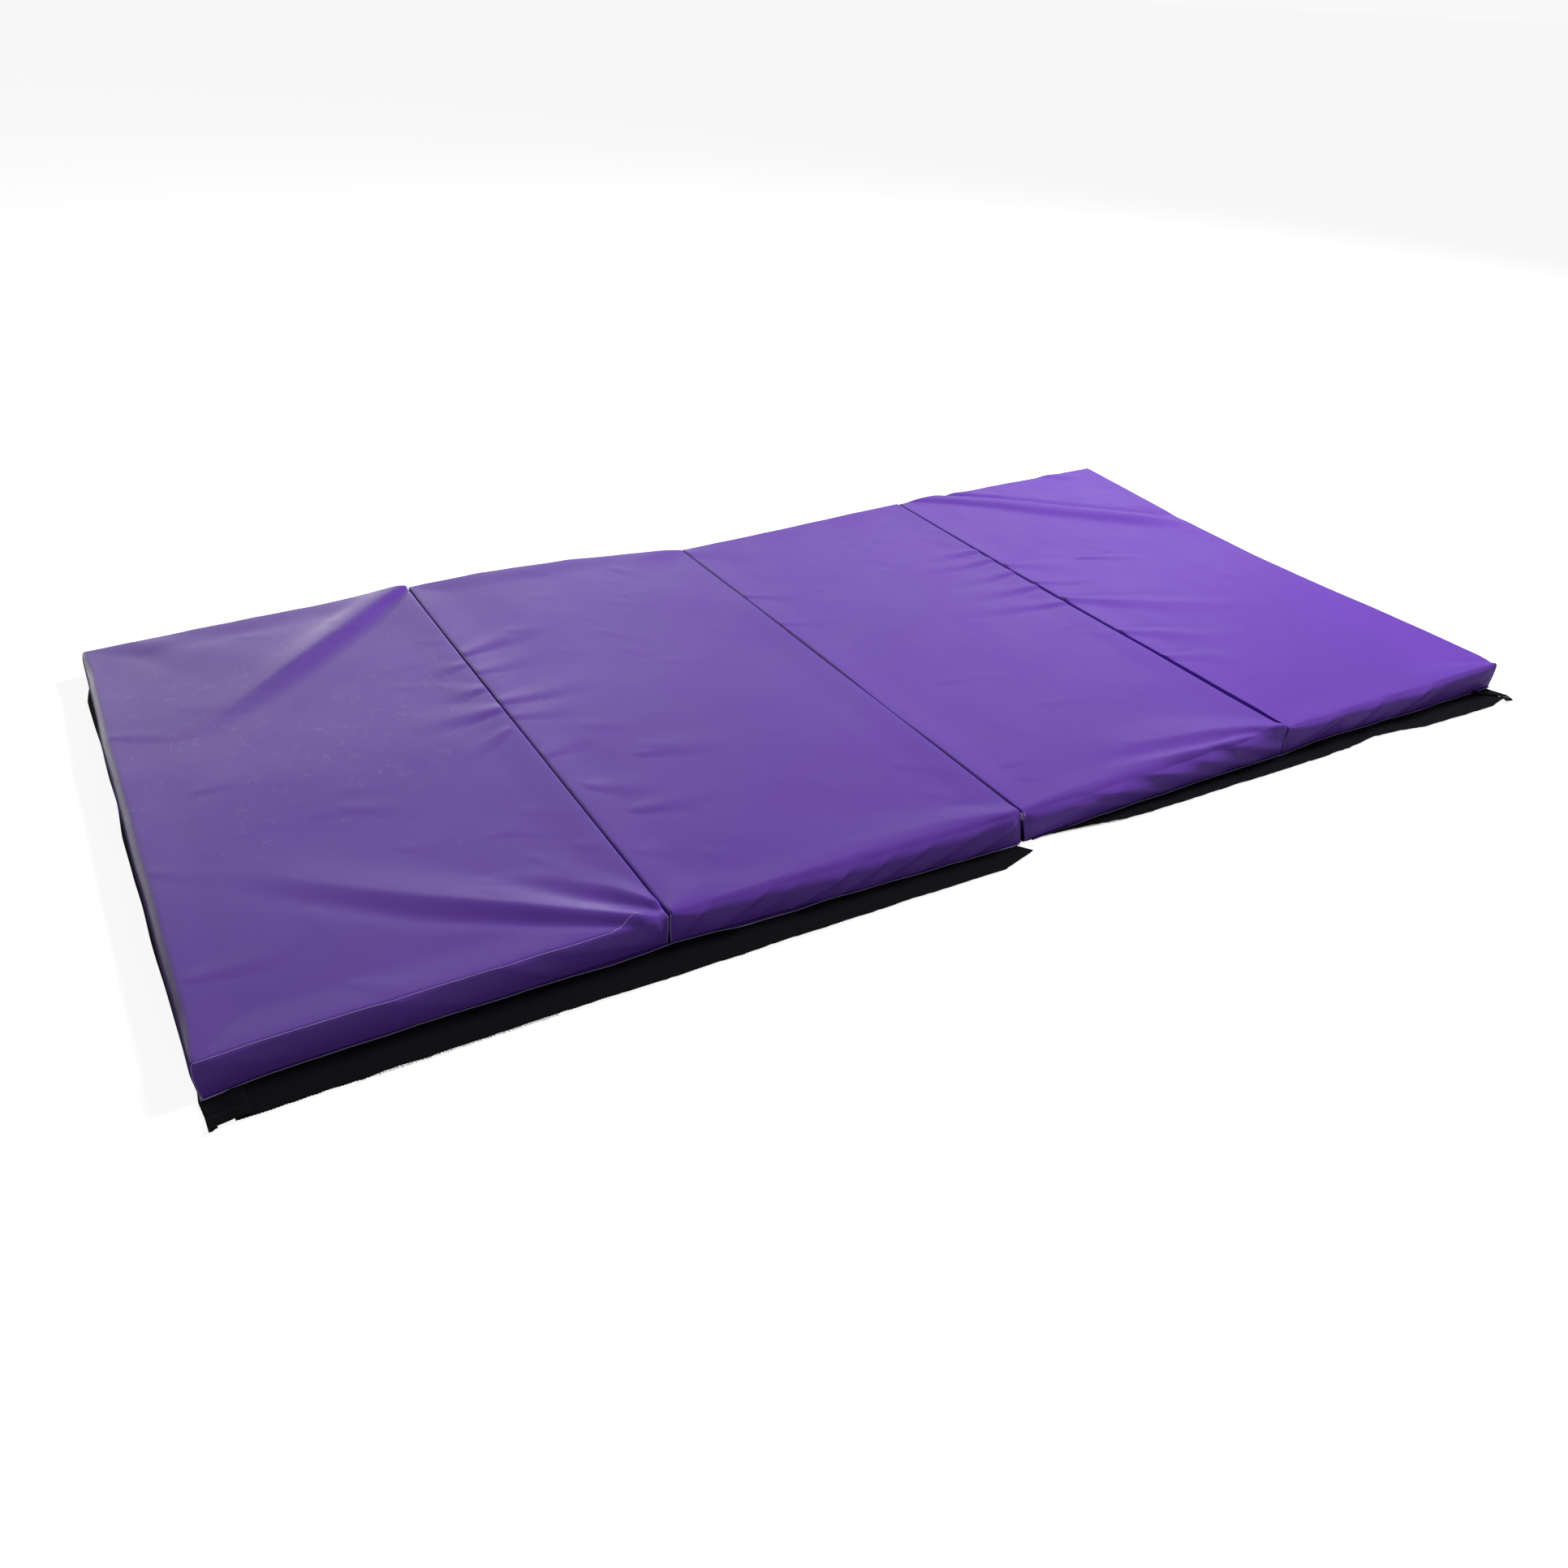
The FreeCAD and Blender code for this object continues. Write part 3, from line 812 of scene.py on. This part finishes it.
def add_covers():
    for number in PANELS:
        cover = make_cover(number)
        finish(cover, VINYL, f"panel_{number}")
        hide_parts(f"top_sheet_{number}", f"front_wall_{number}", f"back_wall_{number}",
                    f"left_wall_{number}", f"right_wall_{number}")


# The foam's gaps inside its cover, at its sides and at its top, which leaves room for the loose sheet,
# and how round its edges are.
FOAM_GAP = Vector((0.004, 0.005, 0.0))
FOAM_TOP_GAP = 0.013
FOAM_ROUND = 0.006
# How far apart the cuts are that let the foam follow its cover's crooked edges.
FOAM_CUTS = ((Vector((1, 0, 0)), 0.05), (Vector((0, 1, 0)), 0.04))


def add_foam(number):
    """The foam slab, a little inside the cover, with its edges rounded by wear."""
    low, high = (Vector(corner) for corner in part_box(f"foam_core_{number}"))
    low, high = low + FOAM_GAP, high - FOAM_GAP
    low.x += max(value for _, value in FOOT.get((number, "left"), [(0, 0)])) * MM
    high.x -= max(value for _, value in FOOT.get((number, "right"), [(0, 0)])) * MM
    high.z -= FOAM_TOP_GAP
    working = bmesh.new()
    bmesh.ops.create_cube(working, size=1.0)
    size, middle = high - low, (high + low) / 2
    for vert in working.verts:
        vert.co = Vector((vert.co.x * size.x, vert.co.y * size.y, vert.co.z * size.z)) + middle
    bmesh.ops.bevel(working, geom=working.edges[:], offset=FOAM_ROUND, segments=4, affect="EDGES")
    for axis, pitch in FOAM_CUTS:
        for at in np.arange(low.dot(axis) + pitch / 2, high.dot(axis) - pitch / 4, pitch):
            parts = working.verts[:] + working.edges[:] + working.faces[:]
            bmesh.ops.bisect_plane(working, geom=parts, plane_co=axis * at, plane_no=axis)
    working.verts.index_update()
    points = settle(np.array([tuple(vert.co) for vert in working.verts]))
    faces = []
    for face in working.faces:
        ring = [vert.index for vert in face.verts]
        start = ring.index(min(ring))
        faces.append(ring[start:] + ring[:start])
    working.free()
    # The cuts leave the faces in a different order in each run, so they are sorted.
    piece = new_object(f"foam_{number}", points, sorted(faces))
    finish(piece, FOAM, f"panel_{number}")
    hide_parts(f"foam_core_{number}")


# How far the sewn lip stands out beyond the bottom seam along the front.
LIP_WIDTH = [(-END, 3), (-820, 3), (-760, 5), (-700, 8), (-650, 7), (-600, 3), (-540, 4), (-500, 9),
             (-420, 8), (-370, 3), (0, 3), (300, 4), (FOLD, 4), (END, 3)]


# How far the lip starts inside the seam, how high its edge stands above it, and how much more for each
# metre that it is wider than its least. The back lip is as wide all along, apart from its waves.
LIP_ROOT = 0.003
LIP_RISE = 0.0012
WIDE_LIP_RISE = 0.16
LEAST_LIP = 0.003
BACK_LIP = 0.004
# Over what length the bottom sheet's ends follow a side wall's foot.
FOOT_REACH = 0.06


def lip_wave(x, seed):
    """How the lip's edge wanders, in long waves and short ones."""
    long_waves = value_noise(x, x * 0 + 0.3, 0.05, seed) * 0.0010
    return long_waves + value_noise(x, x * 0 + 0.7, 0.012, seed + 1) * 0.0003


def add_underside(number):
    """The bottom sheet: flat under the foam, with a wavy sewn lip turned out around its free edges."""
    low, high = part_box(f"bottom_sheet_{number}")
    xs = np.linspace(low[0], high[0], int((high[0] - low[0]) / 0.005))
    lip_shares = [0.0, 0.5, 1.0]
    inner = np.linspace(-HALF_WIDTH + 0.02, HALF_WIDTH - 0.02, 40)
    rows = []
    front_seam = -HALF_WIDTH - along(FRONT_SEAM, xs)
    back_seam = HALF_WIDTH + along(FRONT_SEAM, xs) * BACK_SEAM_SHARE
    front_lip = along(LIP_WIDTH, xs) + lip_wave(xs, 30 + number)
    back_lip = BACK_LIP + lip_wave(xs, 35 + number)
    for share in reversed(lip_shares):
        rise = LIP_RISE * share + WIDE_LIP_RISE * (along(LIP_WIDTH, xs) - LEAST_LIP) * share
        rows.append(row(xs, front_seam + LIP_ROOT - (front_lip + LIP_ROOT) * share, SEAM_Z + rise))
    for y in inner:
        rows.append(row(xs, y, SEAM_Z))
    for share in lip_shares:
        y = back_seam - LIP_ROOT + (back_lip + LIP_ROOT) * share
        rows.append(row(xs, y, SEAM_Z + LIP_RISE * share))
    surface = np.stack(rows)
    from_left = smoothly(FOOT_REACH, 0.0, surface[..., 0] - low[0])
    from_right = smoothly(FOOT_REACH, 0.0, high[0] - surface[..., 0])
    y = surface[..., 1]
    surface[..., 0] += foot_in(number, "left", y) * from_left - foot_in(number, "right", y) * from_right
    settled = settle(surface)
    piece = sheet_mesh(f"underside_{number}", settled, SHEET)
    finish(piece, VINYL, f"panel_{number}")
    # The bottom sheet's edges, the lip's outer edge among them, get the paler edge purple, which is partly a
    # painted highlight.
    piece.data.materials.append(PALE_EDGE_AND_HIGHLIGHT)
    for face in piece.data.polygons:
        face.material_index = 1 if abs(face.normal.z) < 0.5 else 0
    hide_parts(f"bottom_sheet_{number}")
    edges = [settled[end] - (0.0, 0.0, SHEET * 0.4) for end in (0, -1)]
    add_tubes(f"lip_edges_{number}", edges, SEAM_RADIUS, VINYL_CUT, f"panel_{number}")


# How far the outer edge of the flaps stands out from the mat's middle line.
FLAP_EDGE = {
    "left": [(-1182, 671), (-800, 671), (-500, 674), (-200, 676), (-78, 679), (-68, 678), (7, 655)],
    "right": [(0, 629), (67, 634), (113, 641), (159, 648), (206, 655), (259, 657), (610, 659), (671, 660),
              (739, 658), (814, 651), (876, 657), (930, 667), (999, 670), (1070, 672), (1137, 674),
              (1193, 661)],
}
# How far the left flap's end at the middle fold slants back, from its tip to its sewn edge.
FLAP_SLANT = 0.040
# How far each flap's outer end lies over the end strip.
FLAP_TUCK = {("left", "front"): 0.023, ("left", "back"): 0.023, ("right", "front"): 0.023,
             ("right", "back"): 0.045}
# How much of a flap is sewn in under the mat. A flap or a strip has its upper side this much above
# STRIP_TOP, and is this much thinner than STRIP_TOP, so it lies twice this off the floor.
FLAP_ROOT = 0.015
CLOTH_LIFT = 0.0002


def add_edge_flap(side, edge):
    """A hook-and-loop flap along two panels: sewn under the lip, with a wavy, frayed outer edge."""
    numbers = (1, 2) if side == "left" else (3, 4)
    tuck = FLAP_TUCK[side, edge]
    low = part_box(f"{edge}_flap_{numbers[0]}")[0][0] - (tuck if side == "left" else 0.0)
    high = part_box(f"{edge}_flap_{numbers[1]}")[1][0] + (tuck if side == "right" else 0.0)
    sign = -1 if edge == "front" else 1
    xs = np.arange(low, high, 0.0022)
    xs[-1] = high
    seed = {"left": 1, "right": 5}[side] + (0 if edge == "front" else 2)
    outer = along(FLAP_EDGE[side], xs)
    outer = outer + value_noise(xs, xs * 0, 0.035, seed) * 0.0010
    outer = outer + value_noise(xs, xs * 0, 0.009, seed + 1) * 0.0006
    fray = np.where(np.arange(len(xs)) % 2 == 0, 0.0006, -0.0002)
    root = np.full_like(xs, HALF_WIDTH - FLAP_ROOT)
    rows = []
    shares = np.concatenate([np.linspace(0.0, 0.2, 3), np.linspace(0.28, 0.98, 12), [1.0]])
    curl = 0.0012 + 0.0022 * (value_noise(xs, xs * 0, 0.11, seed + 7) + 1) / 2
    for share in shares:
        y = root + (outer - root) * share + (fray if share == 1.0 else 0.0)
        z = STRIP_TOP + CLOTH_LIFT + curl * smoothly(0.35, 1.0, share) * share
        slant = FLAP_SLANT * (1.0 - share) * smoothly(high - 0.09, high, xs) if side == "left" else 0.0
        rows.append(row(xs - slant, sign * y, z))
    piece = sheet_mesh(f"{edge}_flap_{side}", np.stack(rows), STRIP_TOP - CLOTH_LIFT)
    finish(piece, BLACK_LOOP, None)
    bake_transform(piece)
    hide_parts(*(f"{edge}_flap_{number}" for number in numbers))
    return piece


# How wide each end strip is along its length: its front end is folded to a narrow tab.
TAB_WIDTH = {
    "left": [(-677, 10.5), (-671.5, 10.5), (-670, 50), (674, 50)],
    "right": [(-678, 21), (-657, 22), (-645, 28), (-628, 50), (674, 50)],
}


def add_end_strip(side):
    """The strip sewn across one end, with turned hems at its two ends."""
    low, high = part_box(f"{side}_end_strip")
    low[1] -= 0.004
    number = 1 if side == "left" else 4
    fine = np.arange(0.0, 0.03, 0.0012) + low[1]
    ys = np.unique(np.concatenate([np.arange(low[1], high[1], 0.004), fine, [high[1]]]))
    rows = []
    seed = 11 if side == "left" else 13
    wave = value_noise(ys, ys * 0, 0.10, seed) * 0.0018
    hem = smoothly(0.0, 0.002, 0.025 - np.minimum(ys - low[1], high[1] - ys)) * STRIP_TOP
    overhang = np.maximum(np.abs(ys) - HALF_WIDTH - 0.006, 0.0)
    under = np.abs(ys) < HALF_WIDTH + 0.008
    tab_share = along(TAB_WIDTH[side], ys) / (high[0] - low[0])
    for share in np.linspace(0.0, 1.0, 9):
        narrow = share * tab_share if side == "left" else 1.0 - (1.0 - share) * tab_share
        x = low[0] + (high[0] - low[0]) * narrow + wave * (1 if side == "left" else 0.4)
        inwards = share if side == "left" else 1.0 - share
        over_flap = smoothly(0.4, 0.75, inwards) * np.where(under, 0.0, 0.0024)
        z = STRIP_TOP + CLOTH_LIFT + np.where(under, 0.0, hem) + overhang * 0.03 + over_flap
        rows.append(row(x, ys, z))
    surface = settle_flat(np.stack(rows), side)
    piece = sheet_mesh(f"{side}_end_strip_cloth", surface, STRIP_TOP - CLOTH_LIFT)
    finish(piece, BLACK_LOOP, f"panel_{number}")
    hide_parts(f"{side}_end_strip")
    return surface


# How far towards +x each end strip lies from its end's line, from the front to the back.
STRIP_SHIFT = {
    "left": [(-674, 11), (-649, 11), (-621, 9), (-601, 11), (-568, 8), (-480, 8), (-275, 4), (0, 4),
             (110, 7), (300, 7), (480, 3), (560, 12), (600, 28), (674, 42)],
    "right": [(-677, -6), (-664, 0), (-650, 4), (-630, -2), (-612, -6), (-560, -8), (-300, -6), (674, -6)],
}


def settle_flat(points, side):
    """An end strip follows its end of the mat, sideways only."""
    moved = points.copy()
    table = LEFT_END_SHIFT if side == "left" else RIGHT_END_SHIFT
    y = points[..., 1]
    moved[..., 0] += along(table, y) + along(STRIP_SHIFT[side], y)
    return moved


# How far a fold's web reaches to each side of its line.
WEB_REACH = {"bottom": 0.004, "top": 0.0024}
# How far down the middle fold's web goes inside each cover, so that it still joins them when pressed.
WEB_DEPTH = (0.011, 0.008, 0.004)
# How deep the top web lies under the mat's top, and how much deeper in its middle.
WEB_BELOW = 0.0022
WEB_DIP = 0.0016


def add_hinge_webs():
    """The vinyl and tape that bend at each fold line."""
    for name, (left, right), kind in (("left_fold", (1, 2), "bottom"), ("middle_fold", (2, 3), "top"),
                                      ("right_fold", (3, 4), "bottom")):
        fold = FOLD_X[name]
        reach = WEB_REACH[kind]
        across = np.linspace(-1.0, 1.0, 9)
        ys = np.linspace(-HALF_WIDTH + 0.012, HALF_WIDTH - 0.012, 240)
        rows = []
        for share in across:
            z = SEAM_Z if kind == "bottom" else MAT_TOP - WEB_BELOW - WEB_DIP * (1 - share ** 2)
            rows.append(row(fold + share * reach, ys, z))
        if kind == "top":
            inside = [rows[0] - (0, 0, depth) for depth in WEB_DEPTH]
            rows = inside + rows + [rows[-1] - (0, 0, depth) for depth in reversed(WEB_DEPTH)]
        piece = sheet_mesh(f"{name}_web", settle(np.stack(rows)), SHEET)
        finish(piece, VINYL, None)
        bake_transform(piece)
        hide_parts(f"hinge_tape_right_{left}", f"hinge_tape_left_{right}")


# What share of its thickness each panel keeps when the middle fold closes and the tops press together.
PRESSED_SHARE = {1: 0.87, 2: 0.91, 3: 0.91, 4: 0.87}


def press_under_middle_fold():
    """Give each panel's cover, foam and corner seams, and a few pieces that go with them, meshes of their
    own.
    """
    extra = {1: ["front_top_seam_1"], 2: ["front_thread_loops", "back_thread_loops"]}
    for number, share in PRESSED_SHARE.items():
        names = [f"cover_{number}", f"foam_{number}", f"corner_seams_{number}"]
        for name in names + extra.get(number, []):
            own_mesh(bpy.data.objects[name])


# Each kind of stitch: how far apart, how long, and its radius.
LIP_STITCH = (0.0052, 0.0040, 0.0004)
TAB_STITCH = (0.0030, 0.0022, 0.0005)
# The radius of a seam's or a lip's bead, of the crisp seam's, of a loose thread and of a selvage loop.
SEAM_RADIUS = 0.0007
CRISP_RADIUS = 0.0006
THREAD_RADIUS = 0.0006
SELVAGE_RADIUS = 0.0003


def add_stitches(name, points, stitch, material, body):
    """A run of stitches along a path: each a small bead of thread, half sunk in the cloth."""
    pitch, length, radius = stitch
    points = np.asarray(points, dtype=float)
    steps = np.linalg.norm(np.diff(points, axis=0), axis=1)
    distance = np.concatenate([[0.0], np.cumsum(steps)])
    places = np.arange(pitch / 2, distance[-1] - pitch / 2, pitch)
    verts, faces = [], []
    sides, stations = 6, (0.0, 0.15, 0.5, 0.85, 1.0)
    swell = (0.35, 0.85, 1.0, 0.85, 0.35)
    for place in places:
        at = np.array([np.interp(place + (s - 0.5) * length, distance, points[:, k]) for s in stations
                       for k in range(3)]).reshape(-1, 3)
        run = at[-1] - at[0]
        run = run / np.linalg.norm(run)
        side = np.cross(run, (0.0, 0.0, 1.0))
        side = side / np.linalg.norm(side)
        up = np.cross(side, run)
        start = len(verts)
        for centre, size in zip(at, swell):
            for k in range(sides):
                turn = 2 * math.pi * k / sides
                verts.append(centre + radius * size * (math.cos(turn) * side + math.sin(turn) * up))
        for ring in range(len(stations) - 1):
            for k in range(sides):
                a = start + ring * sides + k
                b = start + ring * sides + (k + 1) % sides
                faces.append((a, b, b + sides, a + sides))
        faces.append(tuple(start + k for k in reversed(range(sides))))
        faces.append(tuple(start + (len(stations) - 1) * sides + k for k in range(sides)))
    piece = new_object(name, verts, faces)
    finish(piece, material, body)
    return piece


def tube(path, radius, sides=6):
    """The points and faces of a closed round tube along a path of points."""
    path = np.asarray(path, dtype=float)
    runs = np.gradient(path, axis=0)
    runs /= np.linalg.norm(runs, axis=1, keepdims=True)
    reference = np.where(np.abs(runs[:, 2:3]) > 0.8, [[1.0, 0.0, 0.0]], [[0.0, 0.0, 1.0]])
    across = np.cross(runs, reference)
    across /= np.linalg.norm(across, axis=1, keepdims=True)
    above = np.cross(across, runs)
    turns = 2 * np.pi * np.arange(sides) / sides
    ring = np.cos(turns)[None, :, None] * across[:, None] + np.sin(turns)[None, :, None] * above[:, None]
    verts = (path[:, None] + radius * ring).reshape(-1, 3)
    index = np.arange(len(path) * sides).reshape(len(path), sides)
    after = np.roll(index, -1, axis=1)
    faces = [tuple(f) for f in np.stack([index[:-1], after[:-1], after[1:], index[1:]], -1).reshape(-1, 4)]
    faces.append(tuple(index[0, ::-1]))
    faces.append(tuple(index[-1]))
    return verts, faces


def add_tubes(name, paths, radius, material, body, sides=6):
    """Several threads or beads as one piece."""
    verts, faces = [], []
    for path in paths:
        points, rings = tube(path, radius, sides)
        faces.extend(tuple(index + len(verts) for index in face) for face in rings)
        verts.extend(points)
    piece = new_object(name, verts, faces)
    fix_normals(piece)
    finish(piece, material, body)
    return piece


def add_seams(number):
    """The sewn seams that show on a cover: its upright corners, and panel 1's crisp front top edge."""
    _, _, low, high = cover_points(number)
    paths = []
    heights = np.linspace(low[2] + 0.001, high[2], 24)
    for x in (low[0], high[0]):
        for y in (low[1], high[1]):
            paths.append(cover_shape(number, row(x, y, heights), low, high))
    # The corner beads get the paler edge purple: partly a worn seam, partly a painted highlight.
    add_tubes(f"corner_seams_{number}", paths, SEAM_RADIUS, PALE_EDGE_AND_HIGHLIGHT, f"panel_{number}")
    if number != 1:
        return
    xs = np.linspace(low[0], CRISP_SEAM[0][0] * MM, 260)
    edge = row(xs, low[1], high[2])
    rise = np.array([(x * MM, y * MM, high[2]) for x, y in CRISP_SEAM])
    shares = np.linspace(0, len(rise) - 1, 24)
    rise = np.stack([np.interp(shares, np.arange(len(rise)), rise[:, k]) for k in range(3)], -1)
    path = cover_shape(number, np.concatenate([edge, rise[1:]]), low, high)
    path[:, 2] += 0.0002
    # The crisp seam gets the paler edge purple: partly a worn crease, partly a painted highlight.
    add_tubes("front_top_seam_1", [path], CRISP_RADIUS, PALE_EDGE_AND_HIGHLIGHT, "panel_1")


# Where panel 1's front top seam leaves the edge and climbs to the tip of the long fold.
CRISP_SEAM = [(-694, -609.6), (-680, -603), (-664, -597), (-650, -594)]


def add_lip_stitches(number):
    low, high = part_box(f"bottom_sheet_{number}")
    xs = np.linspace(low[0] + 0.004, high[0] - 0.004, 160)
    for edge, sign, share, inset in (("front", -1, 1.0, 0.0022), ("back", 1, BACK_SEAM_SHARE, 0.0015)):
        y = sign * (HALF_WIDTH + along(FRONT_SEAM, xs) * share + inset)
        path = settle(row(xs, y, SEAM_Z + 0.0008))
        add_stitches(f"{edge}_lip_stitches_{number}", path, LIP_STITCH, PURPLE_THREAD,
                     f"panel_{number}")


def add_loose_threads():
    """Frayed loops of thread where the top fold's seam ends, at the front and at the back."""
    for edge, sign in (("front", -1), ("back", 1)):
        rng = random.Random(31 + sign)
        paths = []
        for _ in range(6):
            size = rng.uniform(0.0035, 0.0065)
            centre = np.array((rng.uniform(-0.003, 0.004), sign * (HALF_WIDTH + rng.uniform(-0.001, 0.004)),
                               MAT_TOP - rng.uniform(0.0035, 0.010)))
            tilt, start = rng.uniform(-0.7, 0.7), rng.uniform(0, math.pi)
            turns = np.linspace(start, start + rng.uniform(3.6, 5.6), 14)
            loop = row(np.cos(turns) * size * 0.5, sign * 0.0008 * np.sin(turns * 2),
                       np.sin(turns) * size * 0.7 + tilt * np.cos(turns) * size * 0.4)
            paths.append(settle(loop + centre))
        add_tubes(f"{edge}_thread_loops", paths, THREAD_RADIUS, PURPLE_THREAD, "panel_2", 5)


# Where the selvage stands out in loops, for the panel that each stretch moves with.
FRINGES = {"panel_1": (-1.06, -0.80), "panel_3": (0.02, 0.20)}
FRINGE_PITCH = 0.0031


def add_flap_fringe(body, low, high, edge):
    """Short stiff loops of selvage that stand out of a flap's outer edge."""
    sign = -1 if edge == "front" else 1
    rng = random.Random(body)
    side = "left" if high < 0 else "right"
    paths = []
    for x in np.arange(low, high, FRINGE_PITCH):
        y = float(along(FLAP_EDGE[side], x)) + 0.0004
        reach = rng.uniform(0.0008, 0.0024)
        lean = rng.uniform(-0.001, 0.001)
        points = [(x, y - 0.002, STRIP_TOP + 0.0008), (x + lean, y + reach, STRIP_TOP + 0.0012),
                  (x + 0.0010 + lean, y + reach * 0.9, STRIP_TOP + 0.0009),
                  (x + 0.0013, y - 0.002, STRIP_TOP + 0.0006)]
        paths.append(np.array(points) * (1, sign, 1))
    add_tubes(f"{edge}_selvage_{body}", paths, SELVAGE_RADIUS, BLACK_LOOP, body, 4)


def add_tab_stitches(side, surface):
    """Stitching across the turned tab of an end strip, at columns of its grid."""
    body, columns, thread = {"left": ("panel_1", (3,), BLACK_THREAD),
                             "right": ("panel_4", (9, 13), GREY_THREAD)}[side]
    for index, column in enumerate(columns):
        line = surface[:, column] + (0, 0, 0.0006)
        add_stitches(f"{side}_tab_stitches_{index + 1}", line, TAB_STITCH, thread, body)


# --- Floor, light and camera --------------------------------------------------------------------

# How bright the floor and the background look, apart from the light that falls on them.
SEEN_WHITE = 0.90
WORLD_STRENGTH = 0.045


def add_floor():
    """A pale floor, which lights the mat from below less than it shows, as a studio floor with flags does."""
    bpy.ops.mesh.primitive_plane_add(size=400.0, location=(0.0, 0.0, -0.0005))
    floor = bpy.context.object
    floor.name = "floor"
    material, tree, shader, _ = new_material("floor")
    path = tree.nodes.new("ShaderNodeLightPath")
    seen = path.outputs["Is Camera Ray"]
    unseen = mixed(tree, path.outputs["Is Glossy Ray"], grey(0.55), grey(0.15))
    set_surface(tree, shader, Base_Color=mixed(tree, seen, unseen, grey(0.62)), Emission_Color=grey(1.0),
                Emission_Strength=product(tree, seen, SEEN_WHITE), Roughness=0.9, Specular_IOR_Level=0.1)
    floor.data.materials.append(material)


def add_area_light(name, place, target, size, power, mirrored=True, diffuse=True):
    data = bpy.data.lights.new(name, "AREA")
    data.shape = "RECTANGLE"
    data.size, data.size_y = size
    data.energy = power
    light = bpy.data.objects.new(name, data)
    light.location = place
    light.rotation_euler = (Vector(target) - Vector(place)).to_track_quat("-Z", "Y").to_euler()
    light.visible_camera = False
    light.visible_glossy = mirrored
    light.visible_diffuse = diffuse
    bpy.context.scene.collection.objects.link(light)


def add_lights():
    world = bpy.data.worlds.new("studio")
    world.use_nodes = True
    tree = world.node_tree
    background = tree.nodes["Background"]
    background.inputs["Color"].default_value = (1.0, 1.0, 1.0, 1.0)
    seen = tree.nodes.new("ShaderNodeLightPath").outputs["Is Camera Ray"]
    strength = calculated(tree, "ADD", product(tree, seen, SEEN_WHITE), WORLD_STRENGTH)
    tree.links.new(strength, background.inputs["Strength"])
    bpy.context.scene.world = world
    add_area_light("key_softbox", (3.4, 0.6, 3.1), (0.4, 0.0, 0.0), (1.6, 1.6), 240.0, mirrored=False)
    add_area_light("low_wall", (-1.5, 5.0, 0.55), (-1.5, 0.0, 0.55), (7.0, 1.0), 100.0, diffuse=False)
    add_area_light("back_wall", (1.0, 5.0, 1.7), (1.0, 0.0, 1.7), (12.0, 1.4), 38.0, diffuse=False)
    add_area_light("upper_wall", (1.5, 5.0, 3.3), (1.5, 0.0, 3.3), (13.0, 1.8), 66.0, diffuse=False)
    add_area_light("front_fill", (-1.4, -4.5, 0.8), (-0.4, 0.0, 0.0), (4.0, 1.0), 20.0, mirrored=False)


CAMERA_PLACE = (-1.241, -1.913, 1.169)
CAMERA_AZIMUTH = -31.638
CAMERA_ELEVATION = 31.798
CAMERA_ROLL = 2.886
CAMERA_LENS = 30.25


def add_camera():
    """Stand the camera at its place, looking along its azimuth and down by its elevation."""
    azimuth, elevation, roll = (math.radians(a) for a in (CAMERA_AZIMUTH, CAMERA_ELEVATION, CAMERA_ROLL))
    back = Vector((math.sin(azimuth) * math.cos(elevation), -math.cos(azimuth) * math.cos(elevation),
                   math.sin(elevation)))
    right = Vector((math.cos(azimuth), math.sin(azimuth), 0.0))
    up = back.cross(right)
    rolled_right = right * math.cos(roll) + up * math.sin(roll)
    rolled_up = up * math.cos(roll) - right * math.sin(roll)
    data = bpy.data.cameras.new("camera")
    data.lens = CAMERA_LENS
    data.sensor_width = 36.0
    data.clip_end = 100.0
    camera = bpy.data.objects.new("camera", data)
    turn = Matrix((rolled_right, rolled_up, back)).transposed()
    camera.matrix_world = Matrix.Translation(CAMERA_PLACE) @ turn.to_4x4()
    bpy.context.scene.collection.objects.link(camera)
    bpy.context.scene.camera = camera


bpy.context.scene.view_settings.view_transform = "Standard"
add_camera()
add_floor()
add_lights()
add_covers()
for panel in PANELS:
    add_foam(panel)
    add_underside(panel)
    add_lip_stitches(panel)
    add_seams(panel)
for end in ("left", "right"):
    strip_surface = add_end_strip(end)
    add_tab_stitches(end, strip_surface)
    for long_edge in ("front", "back"):
        add_edge_flap(end, long_edge)
for long_edge in ("front", "back"):
    for panel_body, (low_x, high_x) in FRINGES.items():
        add_flap_fringe(panel_body, low_x, high_x, long_edge)
add_loose_threads()
add_hinge_webs()

press_under_middle_fold()
